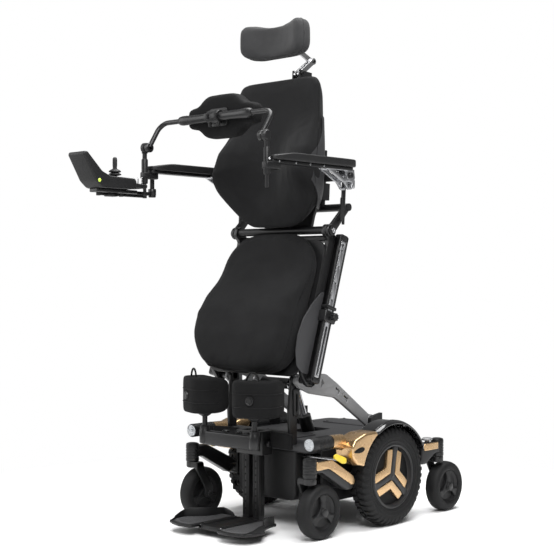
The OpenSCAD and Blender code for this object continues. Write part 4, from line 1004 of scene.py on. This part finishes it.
def head_point(t, k, h):
    x = 144 * power(math.cos(t), 0.54) * k
    wing = (abs(x) / 144) ** 2
    rise = 0.56 + 0.44 * wing if math.sin(t) > 0 else 0.82 + 0.04 * wing
    z = 84 * power(math.sin(t), 0.54) * k * rise
    thick = 62 * (0.62 + 0.74 * wing)
    return (x, -0.3 - thick * h - 4 * wing, z)


def chest_point(t, k, h):
    x = -164 * power(math.cos(t), 0.42) * k
    mid = math.exp(-((x / 94) ** 6))
    z = 78 * power(math.sin(t), 0.42) * k * (0.56 + 0.44 * mid)
    return (x, 46 * h + 8 * h * (x / 170) ** 2, z)


def arm_pad_point(t, k, h):
    y = 210 * power(math.sin(t), 0.3) * (1 - (1 - k) * 66 / 420)
    slope = 12 * smooth((-y - 110) / 100)
    return (33 * power(math.cos(t), 0.5) * k, y, (26 - slope) * h)


def cup_point(t, k, h):
    x = 82 * power(math.cos(t), 0.6)
    dent = 1 - 1.05 * math.exp(-((x / 46) ** 2))
    y = -86 * abs(math.sin(t)) ** 0.6 if math.sin(t) < 0 else 62 * math.sin(t) ** 0.6 * dent
    y = -46 + (y + 46) * k
    end = min(1, max(0, (y + 12) / 76))
    return (x * k, y, 62 + (h - 0.5) * 124 * math.sqrt(1 - 0.75 * end * end))


def calf_point(t, k, h):
    u = 0.5 + 0.5 * k * power(math.cos(t), 0.4)
    return (70 + u * 120, -357 - 22 * u * u + 10 * k * power(math.sin(t), 0.6), 292 + h * 52)


def soft(name, body, mat, bm, at, replaces, stuff=None, side=1):
    """A foam or stuffed piece. stuff is (pressure, farthest move in millimetres) of a short cloth run."""
    ob = piece(name, body, mat, [bm], replaces, at, side, ALL_SMOOTH)
    if stuff:
        inflate(ob, *stuff)
    return ob


def inflate(ob, pressure, reach):
    """Fills a cover with a little pressure, so that it swells and settles like cloth over foam."""
    fit = ob.modifiers.new("fit", "REMESH")
    fit.mode = "VOXEL"
    fit.voxel_size = 0.006
    apply_mods(ob)
    rest = [v.co.copy() for v in ob.data.vertices]
    cloth = ob.modifiers.new("cloth", "CLOTH")
    cs = cloth.settings
    cs.quality = 6
    cs.mass = 0.25
    cs.tension_stiffness = 40
    cs.compression_stiffness = 30
    cs.bending_stiffness = 3
    cs.use_pressure = True
    cs.uniform_pressure_force = pressure
    cs.effector_weights.gravity = 0
    cloth.collision_settings.use_collision = False
    for f in range(1, 21):
        scene.frame_set(f)
    dg = bpy.context.evaluated_depsgraph_get()
    moved = [v.co.copy() for v in ob.evaluated_get(dg).data.vertices]
    ob.modifiers.clear()
    scene.frame_set(1)
    for v, a, b in zip(ob.data.vertices, rest, moved):
        d = b - a
        if d.length > reach / 1000:
            d *= reach / 1000 / d.length
        v.co = a + d
    even = ob.modifiers.new("even", "SMOOTH")
    even.factor = 0.5
    even.iterations = 4
    fine = ob.modifiers.new("fine", "SUBSURF")
    fine.levels = 1
    fine.render_levels = 1
    apply_mods(ob)
    ob.data.shade_smooth()


def seam(name, body, at, point, h, pad, mat):
    """A thin piped seam round a pad at one level, laid on its finished surface."""
    path = []
    for t in turns(PAD_RING):
        p = Vector(point(t, 1.0, h))
        near, way = pad.closest_point_on_mesh(at @ p)[1:3]
        path.append(at.inverted() @ (near + way * 0.0004))
    piece(name, body, mat, [tube(path + path[:2], 1.4, 0, 2)], (), at, 1, ALL_SMOOTH)


seat_pad = soft("seat_pad", "seat", FABRIC, cushion(seat_point), SEAT, ["seat_cushion"], (4, 5))
foam = cushion(back_point, BACK_CROWN)
back_pad = soft("back_pad", "back", FABRIC, foam, BACK, ["back_cushion"], (4, 5))
head_pad = soft("head_pad", "headrest", HEAD_COVER, cushion(head_point), HEAD, ["headrest_pad"], (4, 3))
soft("chest_cushion", "chest_pad", NEOPRENE, cushion(chest_point), CHEST, ["chest_pad"], (3, 3))
seam("seat_seam", "seat", SEAT, seat_point, 0.62, seat_pad, FABRIC)
seam("back_seam", "back", BACK, back_point, 0.66, back_pad, FABRIC)
seam("head_seam", "headrest", HEAD, head_point, 0.5, head_pad, HEAD_COVER)
ARM_PAD = spot(290, -390, 1256)
KNEE_CUP = spot(120, -466.7, 408) @ lean(22, "Z")


def knee_bands():
    bands = []
    for h in (0.3, 0.66):
        path = [cup_point(math.radians(180 + 6 * i), 1.004, h) for i in range(31)]
        bands.append(tube(path, 1.5, 0, 2))
    loop = []
    for degrees in range(-10, 195, 12):
        t = math.radians(degrees)
        loop.append((23 * math.cos(t), -60, 118 + 34 * math.sin(t)))
    bands.append(tube(loop, 3.4, 0, 3))
    return bands


def knee_button():
    prof = [(0, -92), (8, -92), (9, -90.6), (11, -92.4), (14, -91.6), (15, -88), (15, -80)]
    return [lathe(prof, "Y", 32, (0, 0, 60))]


for s, side in SIDES:
    arm = side + "_arm"
    foam = cushion(arm_pad_point)
    soft(arm + "_cushion", arm, SOFT_PU, foam, ARM_PAD, [arm + "_pad"], None, s)
    knee = side + "_knee"
    soft(knee + "_cup", knee, NEOPRENE, cushion(cup_point, CUP), KNEE_CUP, [knee + "_pad"], side=s)
    calf = ["calf_pads"] if s > 0 else []
    soft(side + "_calf_band", "legs", NEOPRENE, cushion(calf_point, CUP), AXLE, calf, side=s)
pair("knee_bands", "{}_knee", WEBBING, knee_bands, (), KNEE_CUP, ALL_SMOOTH)
pair("knee_button", "{}_knee", SATIN, knee_button, (), KNEE_CUP)


# Seat frame with its slotted rails, clamps, and grey side panels that are partly painted sheen of the
# cushion's side
def web_side():
    web = [
        (14, -16), (-14, -22), (-58, 12), (-58, 489), (-87, 503), (-87, 535), (-67, 543), (-43, 525),
        (-20, 509), (14, 489),
    ]
    loops = [fillet(web, [14, 16, 30, 14, 14, 14, 14, 14, 20, 14], 6), ring(0, 0, 12.1, 32)]
    pin = [(10, 220), (10, 240.6), (15, 240.6), (15, 241.6), (13, 243), (0, 243)]
    return [
        plate(loops, 206, 222, "X", 2.5, 3),
        lathe([(12.1, 204.6), (20, 204.6), (22, 206.4), (22, 221.8)], "X", 40),
        lathe(pin, "X", 32, (0, -67, 519)),
    ]


def rail_mesh():
    lobes = []
    for t in turns(72):
        r = 13.4 + 1.4 * math.cos(9 * t)
        lobes.append((-8 + r * math.cos(t), 225 + r * math.sin(t)))
    return [
        plate([box2(-30, 14, -8, 520, 15)], 222, 246, "X", 3, 3),
        plate([box2(-30, -21, -6, 518, 4)], 224, 250, "X", 2.4, 3),
        plate([box2(5, 14, -6, 518, 4)], 224, 250, "X", 2.4, 3),
        plate([box2(-30, 14, 500, 521, [2, 2, 17, 17])], 223, 250, "X", 3, 3),
        plate([box2(-30, 14, -9, 10, [17, 17, 2, 2])], 223, 250, "X", 3, 3),
        block(224, 260, -38, 22, 205, 245, 6, 3),
        block(224, 256, -33, 18, 252, 264, 3, 2),
        plate([lobes], 266, 284, "X", 3, 3),
        lathe([(9, 258), (9, 268)], "X", 24, (0, -8, 225)),
    ]


def strip_mesh():
    loops = [box2(-19, 3, 12, 498, 4), box2(-13, -3, 20, 192, 4.6), box2(-13, -3, 476, 490, 4.6)]
    loops += [ring(-8, 285 + 60 * i, 4.3, 20) for i in range(4)]
    return [plate(loops, 245.4, 249.4, "X", 0.6)]


def seat_sheen_panel():
    """Grey side panel between the rail and the cushion's face: partly a real side panel, partly painted sheen
    of the cushion's lit side.
    """
    edge = [
        (-26, 16), (-60, 14), (-92, 30), (-112, 78), (-118, 130), (-108, 190), (-80, 250), (-46, 300),
        (-26, 310),
    ]
    return [plate([fillet(edge, [6, 14, 24, 40, 40, 40, 40, 20, 6])], 223.4, 227.4, "X", 1.4, 3)]


def hip_bolt():
    return [bolt(243, -67, 519, 9, 5)]


webs = mirrored(web_side) + [block(-207, 207, -56, -30, 485, 507, 4, 3)]
piece("seat_webs", "seat", SATIN, webs, ["seat_frame"], SEAT)
cad(PLASTIC, "seat_pan")
pair("rail_form", "seat", SATIN, rail_mesh, ["{}_seat_rail"], SEAT)
pair("rail_strip", "seat", SILVER, strip_mesh, (), SEAT)
# The grey side panel is partly painted sheen of the cushion's side
pair("seat_sheen_panel", "seat", MID, seat_sheen_panel, (), SEAT)
pair("hip_bolt", "seat", STEEL, hip_bolt, (), SEAT)


# Back shell fittings and side panels
def back_panel():
    """Grey moulded side of the back, seen behind the cushion's bolster."""
    rows = []
    for i in range(21):
        z = 70 + 16 * i
        x = back_half(z)
        end = math.sin(math.pi * i / 20)
        front = -34 - 96 * math.exp(-(((z - 196) / 84) ** 2)) * end
        edge = front * 0.6 - 12
        sec = [(0.8 * x + 2, 22), (0.9 * x + 3, -4), (0.98 * x + 3, -28), (x + 3, edge), (x + 2.4, front)]
        sec += [(x - 1, front), (x - 1, edge), (0.98 * x - 1, -27), (0.9 * x - 1, -2), (0.8 * x - 1, 23)]
        rows.append([(px, py, z + 8) for px, py in sec])
    return [loft(rows)]


def back_fittings():
    return [bolt(x, 42, z, 6, 4, "Y") for x in (-100, 100) for z in (230, 330, 430, 500)]


def carrier_side():
    """A slim hip link, the rod that the back slides on and the sleeve of an armrest's strut."""
    bar = fillet([(-15, 9), (70, 99), (95, 103), (101, 86), (88, 76), (12, -13)], [10, 12, 10, 10, 10, 10])
    eye = [(10.1, 223.6), (20, 223.6), (22, 226), (22, 234), (20, 236.4), (10.1, 236.4)]
    return [
        plate([bar], 224, 236, "X", 2.4, 3),
        lathe(eye, "X", 40),
        lathe([(0, 90), (11, 90), (11, 298), (9, 300), (0, 300)], "Z", 32, (110, 88, 0)),
        lathe([(4.4, 118), (6.6, 117), (7, 112), (7, 36), (5, 33), (0, 33)], "Z", 28, STRUT),
        lathe([(0, 248), (5, 248), (6, 246), (6, 234)], "X", 24, (0, 37, 44)),
    ]


def strut_mesh():
    return [
        lathe([(0, 66), (4.2, 66), (4.2, 184), (0, 184)], "Z", 24, STRUT),
        lathe([(0, 252), (8, 252), (10, 250), (10, 242), (8, 240), (0, 240)], "X", 28, (0, 37, 186)),
        tube([(244, 37, 186), (290, 37, 186)], 5, 0, 4),
    ]


def hip_cap():
    return [bolt(238, 0, 0, 17, 3)]


carrier = [tube([(-237, 88, 90), (237, 88, 90)], 13.6, 0, 6)] + mirrored(carrier_side)
piece("back_carrier_form", "back_carrier", SATIN, carrier, ["back_carrier"], BACK)
hip_bar = tube([(-207, 0, 2), (207, 0, 2)], 14, 0, 6)
piece("hip_bar", "back_carrier", BLACK, [hip_bar], (), BACK)
cad(PLASTIC, "back_shell")
piece("back_bolts", "back", STEEL, back_fittings(), (), BACK)
pair("back_panel", "back", MID, back_panel, (), BACK)
pair("arm_strut", "back", MID, strut_mesh, (), BACK)
pair("hip_cap", "back_carrier", SATIN, hip_cap, (), BACK)


# Headrest links
def head_ear():
    ear = fillet([(0, -14), (28, -12), (40, 0), (28, 12), (0, 14)], [2, 6, 10, 6, 2])
    return [plate([ear], 4.4, 10.2, "X", 1)]


cad(STEEL, "headrest_lower_link", "headrest_upper_link")
PINS = (
    ("head_pin_low", "back", 19, -135, 1618),
    ("head_pin_mid", "head_lower", 12, -62, 1672),
    ("head_pin_top", "headrest", 12, -192, 1726),
)
for name, body, x, y, z in PINS:
    caps = [bolt(x, y, z, 7, 4), flip(bolt(x, y, z, 7, 4))]
    piece(name, body, SATIN, caps)
hold = plate([box2(-70, 70, -26, 26, 12)], -0.2, 5, "Y", 1.4)
piece("head_plate", "headrest", SATIN, [hold] + mirrored(head_ear), (), HEAD)


# Armrests
def arm_frame_mesh():
    rod = [(0, 1165), (5, 1165), (6, 1167), (6, 1226), (8, 1228), (8, 1312), (10.5, 1314), (10.5, 1322)]
    return [
        plate([box2(273, 307, -598, -190, 10)], 1245, 1255.6, "Z", 2, 2),
        block(282, 308, -627, -560, 1224, 1248, 5, 3),
        lathe(rod, "Z", 32, ARM_ROD),
        lathe([(8, 1206), (11, 1208), (11.4, 1216), (11.4, 1290), (9.4, 1294), (8, 1294)], "Z", 32, ARM_ROD),
        lathe([(0, 283.4), (14, 283.4), (18, 285.6), (18, 297), (14, 301), (0, 302)], "X", 40, BAR_HINGE),
        tube([(295, -615, 1316), (295, -615, 1332)], 7, 0, 4),
    ]


def swing_mount():
    post = [(0, 1162), (11, 1162), (13, 1163.6), (13, 1167.6), (8, 1167.6), (8, 1236)]
    return [block(299, 330, -574, -546, 1232, 1248, 4, 3), lathe(post, "Z", 32, (318, -560, 0))]


def truss_mesh():
    outer = [(-177, 1249), (-173, 1220), (-189, 1180), (-210, 1178), (-231, 1202), (-322, 1244), (-322, 1249)]
    loops = [
        fillet(outer, [3, 8, 10, 10, 14, 4, 2], 6),
        fillet([(-224, 1243), (-224, 1214), (-284, 1243)], [3, 6, 3]),
        fillet([(-214, 1206), (-186, 1206), (-193, 1188), (-207, 1187)], [5, 5, 4, 4]),
        ring(*ARM_PIVOT[1:], 10.4, 32),
    ]
    boss = [(10.2, 258.4), (17, 258.4), (18, 260), (18, 296), (17, 297.6), (10.2, 297.6)]
    return [
        plate(loops, 259, 266, "X", 1.4),
        plate(loops, 290, 297, "X", 1.4),
        lathe(boss, "X", 36, ARM_PIVOT),
        block(264, 292, -320, -300, 1240, 1248, 2),
        block(262, 294, -186, -168, 1184, 1216, 4, 3),
    ]


def arm_bolts():
    parts = [bolt(306.6, y, 1250.4, 3.6, 3) for y in (-570, -490, -420, -350)]
    return parts + [bolt(306, -615, 1256, 4.5, 3)]


def arm_pin():
    return [lathe([(0, 306), (8, 306), (10, 304), (10, 292)], "X", 32, ARM_PIVOT)]


for s, side in SIDES:
    frame_parts = arm_frame_mesh()
    if s < 0:
        frame_parts += swing_mount()
    arm = side + "_arm"
    piece(arm + "_form", arm, BLACK, frame_parts, [arm + "_frame"], AXLE, s)
pair("arm_truss", "{}_arm", SILVER, truss_mesh)
pair("arm_bolts", "{}_arm", STEEL, arm_bolts)
pair("arm_pin", "back", SATIN, arm_pin)


# Chest bar and the fittings of its pad
def chest_bar_mesh():
    path = [(269, -615, 1332), (270, -613, 1336), (272, -558, 1421)]
    path += [(-x, y, z) for x, y, z in path[::-1]]
    grip = [(8, -176), (11, -175), (15, -168), (16.6, -156), (16.6, -138), (14.8, -118), (14.8, -30)]
    eye = [(6.2, 264), (14, 264), (17, 266.6), (17, 278), (14, 280.6), (6.2, 280.6)]
    return [
        tube(path, 8.6, 36, 6),
        lathe(full(grip), "X", 40, CHEST_BAR),
        lathe(eye, "X", 40, BAR_HINGE),
        flip(lathe(eye, "X", 40, BAR_HINGE)),
    ]


def chest_clamp():
    shell = [(15.3, -27), (20, -27), (22, -25), (22, 25), (20, 27), (15.3, 27), (15.3, -27)]
    screw = [(0, 1388), (5, 1388), (6, 1390), (6, 1400), (4, 1402), (4, 1406)]
    return [
        lathe(shell, "X", 40, CHEST_BAR),
        plate([box2(-44, 44, 1390, 1452, 14)], -545, -536, "Y", 2, 3),
        lathe(screw, "Z", 24, (-20, -562, 0)),
        lathe(screw, "Z", 24, (20, -562, 0)),
        block(-30, -10, -585, -576, 1412, 1432, 3, 2),
        block(10, 30, -585, -576, 1412, 1432, 3, 2),
    ]


piece("chest_bar_form", "chest_bar", SATIN, chest_bar_mesh(), ["chest_bar"])
piece("chest_clamp", "chest_pad", BLACK, chest_clamp())


# Control: swing arm, panel and joystick
def swing_mesh():
    side = [(-331, -836), (-277, -836), (-277, -664), (-309, -640), (-309, -560), (-331, -560)]
    eye = [(8.1, 1168), (13, 1168), (14, 1169.5), (14, 1190.5), (13, 1192), (8.1, 1192)]
    parts = [
        plate([fillet(side, [10, 10, 14, 12, 4, 4])], 1168, 1180, "Z", 2.5, 3),
        lathe(eye, "Z", 36, (-318, -560, 0)),
        tube([(-322, -800, 1164), (-322, -590, 1164)], 5, 0, 4),
    ]
    for y in (-800, -700, -592):
        parts.append(lathe([(0, 1158), (7, 1158), (8, 1160), (8, 1169)], "Z", 24, (-322, y, 0)))
    return parts + [block(-331, -300, -770, -730, 1156, 1169, 3, 2)]


def panel_mesh():
    side = [
        (-686, 1181), (-688, 1218), (-804, 1222), (-838, 1236), (-900, 1297), (-914, 1298), (-918, 1288),
        (-868, 1203), (-840, 1180),
    ]
    tail = [(-631, 1187), (-631, 1201), (-700, 1204), (-700, 1187)]
    parts = [
        plate([fillet(side, [16, 14, 30, 40, 7, 7, 8, 40, 26], 7)], -339, -251, "X", 5.5, 4),
        plate([fillet(tail, [7, 5, 3, 3])], -330, -260, "X", 4, 3),
        lathe([(25.2, 1219), (29, 1221.5), (32, 1219), (32, 1214)], "Z", 40, STICK),
    ]
    for x in (-322, -268):
        parts.append(lathe([(0, 1226), (6, 1226), (7.4, 1224), (7.4, 1214)], "Z", 24, (x, -800, 0)))
    return parts


def glass_mesh():
    """The dark display, let into the raised front of the panel."""
    bm = plate([box2(-34, 34, -36, 33, 7)], -1, 1.6, "Z", 0.7)
    bm.transform(Matrix.Translation((-295, -868, 1267.5)) @ lean(-44.5))
    return [bm]


def toggle_mesh():
    prof = [(0, 1226), (2, 1225.6), (2.6, 1224), (1.8, 1207), (3.6, 1206), (4, 1200)]
    return [lathe(prof, "Z", 16, (-318 + 15 * i, -662 + 5 * i, 0)) for i in range(4)]


def stick_mesh():
    prof = [
        (0, 1290.8), (4.5, 1290), (7, 1287), (8, 1281), (8, 1262), (7.2, 1254), (8, 1250), (15, 1247),
        (20.5, 1243), (21.5, 1240.5), (19.5, 1238.6), (13, 1237), (19.5, 1234), (22.4, 1231), (22.4, 1229.4),
        (17, 1228), (7, 1225), (6, 1214),
    ]
    return [lathe(prof, "Z", 40, STICK)]


piece("control_swing_form", "control", SATIN, swing_mesh(), ["control_arm"])
panel = piece("panel_form", "control", PLASTIC, panel_mesh(), ["control_panel"])
carve(panel, lathe([(0, 1193), (25.2, 1193), (25.2, 1240), (0, 1240)], "Z", 40, STICK))
piece("panel_glass", "control", SCREEN, glass_mesh())
piece("panel_toggles", "control", STEEL, toggle_mesh())
sign = lathe([(0, 4.6), (4.6, 4), (6.4, 2), (6.6, -3)], "X", 24, (-252, -852, 1204))
piece("panel_sign", "control", SIGN, [sign])
piece("stick_form", "joystick", SOFT_PU, stick_mesh(), ["joystick"])
cad(MID, "joystick_gimbal")


# Stage: pale floor that fades to white, soft studio light and the camera
def combine(tree, operation, a, b):
    """Two values put together by a math node."""
    made = node(tree, "Math", a, b)
    made.operation = operation
    return made.outputs[0]


def floor_material():
    m = bpy.data.materials.new("floor_white")
    m.use_nodes = True
    nt = m.node_tree
    nt.nodes.clear()
    near = node(nt, "BsdfDiffuse", Color=(0.95, 0.95, 0.95, 1))
    far = node(nt, "Emission", Color=(1, 1, 1, 1))
    dist = node(nt, "VectorMath", node(nt, "NewGeometry").outputs["Position"])
    dist.operation = "LENGTH"
    fade = node(nt, "MapRange", dist.outputs["Value"], From_Min=0.75, From_Max=1.7)
    fade.interpolation_type = "SMOOTHSTEP"
    rays = node(nt, "LightPath").outputs
    seen = combine(nt, "MAXIMUM", rays["Is Camera Ray"], rays["Is Glossy Ray"])
    seen = combine(nt, "MAXIMUM", seen, rays["Is Transmission Ray"])
    share = combine(nt, "MULTIPLY", fade.outputs["Result"], seen)
    mix = node(nt, "MixShader", share, near.outputs[0], far.outputs[0])
    node(nt, "OutputMaterial", Surface=mix.outputs[0])
    return m


floor_me = bpy.data.meshes.new("floor")
floor_me.from_pydata([(-40, -40, 0), (40, -40, 0), (40, 40, 0), (-40, 40, 0)], [], [(0, 1, 2, 3)])
floor_me.materials.append(floor_material())
floor = bpy.data.objects.new("floor", floor_me)
scene.collection.objects.link(floor)

world = bpy.data.worlds.new("studio")
scene.world = world
world.use_nodes = True
wt = world.node_tree
wt.nodes.clear()
ray = node(wt, "LightPath").outputs["Is Camera Ray"]
level = node(wt, "MapRange", ray, To_Min=0.2, To_Max=1.0)
sky = node(wt, "Background", Color=(1, 1, 1, 1), Strength=level.outputs["Result"])
node(wt, "OutputWorld", Surface=sky.outputs["Background"])


def area_light(name, at, aim, size, watts):
    data = bpy.data.lights.new(name, "AREA")
    data.size = size
    data.energy = watts
    ob = bpy.data.objects.new(name, data)
    ob.location = at
    ob.rotation_euler = (Vector(aim) - Vector(at)).to_track_quat("-Z", "Y").to_euler()
    scene.collection.objects.link(ob)


area_light("key", (2.4, -2.2, 3.6), (0, 0, 0.8), 2.2, 165)
area_light("fill", (-3.2, -2.6, 2.4), (0, 0, 0.8), 3.0, 75)
area_light("top", (0.2, 0.4, 4.4), (0, 0, 0.5), 3.4, 270)

lens = bpy.data.cameras.new("camera")
lens.sensor_width = 36
lens.lens = 79.1
camera = bpy.data.objects.new("camera", lens)
camera.location = (2.954, -3.194, 0.879)
camera.rotation_euler = (math.radians(90), 0, math.radians(42.8))
scene.collection.objects.link(camera)
scene.camera = camera
scene.view_settings.view_transform = "Standard"
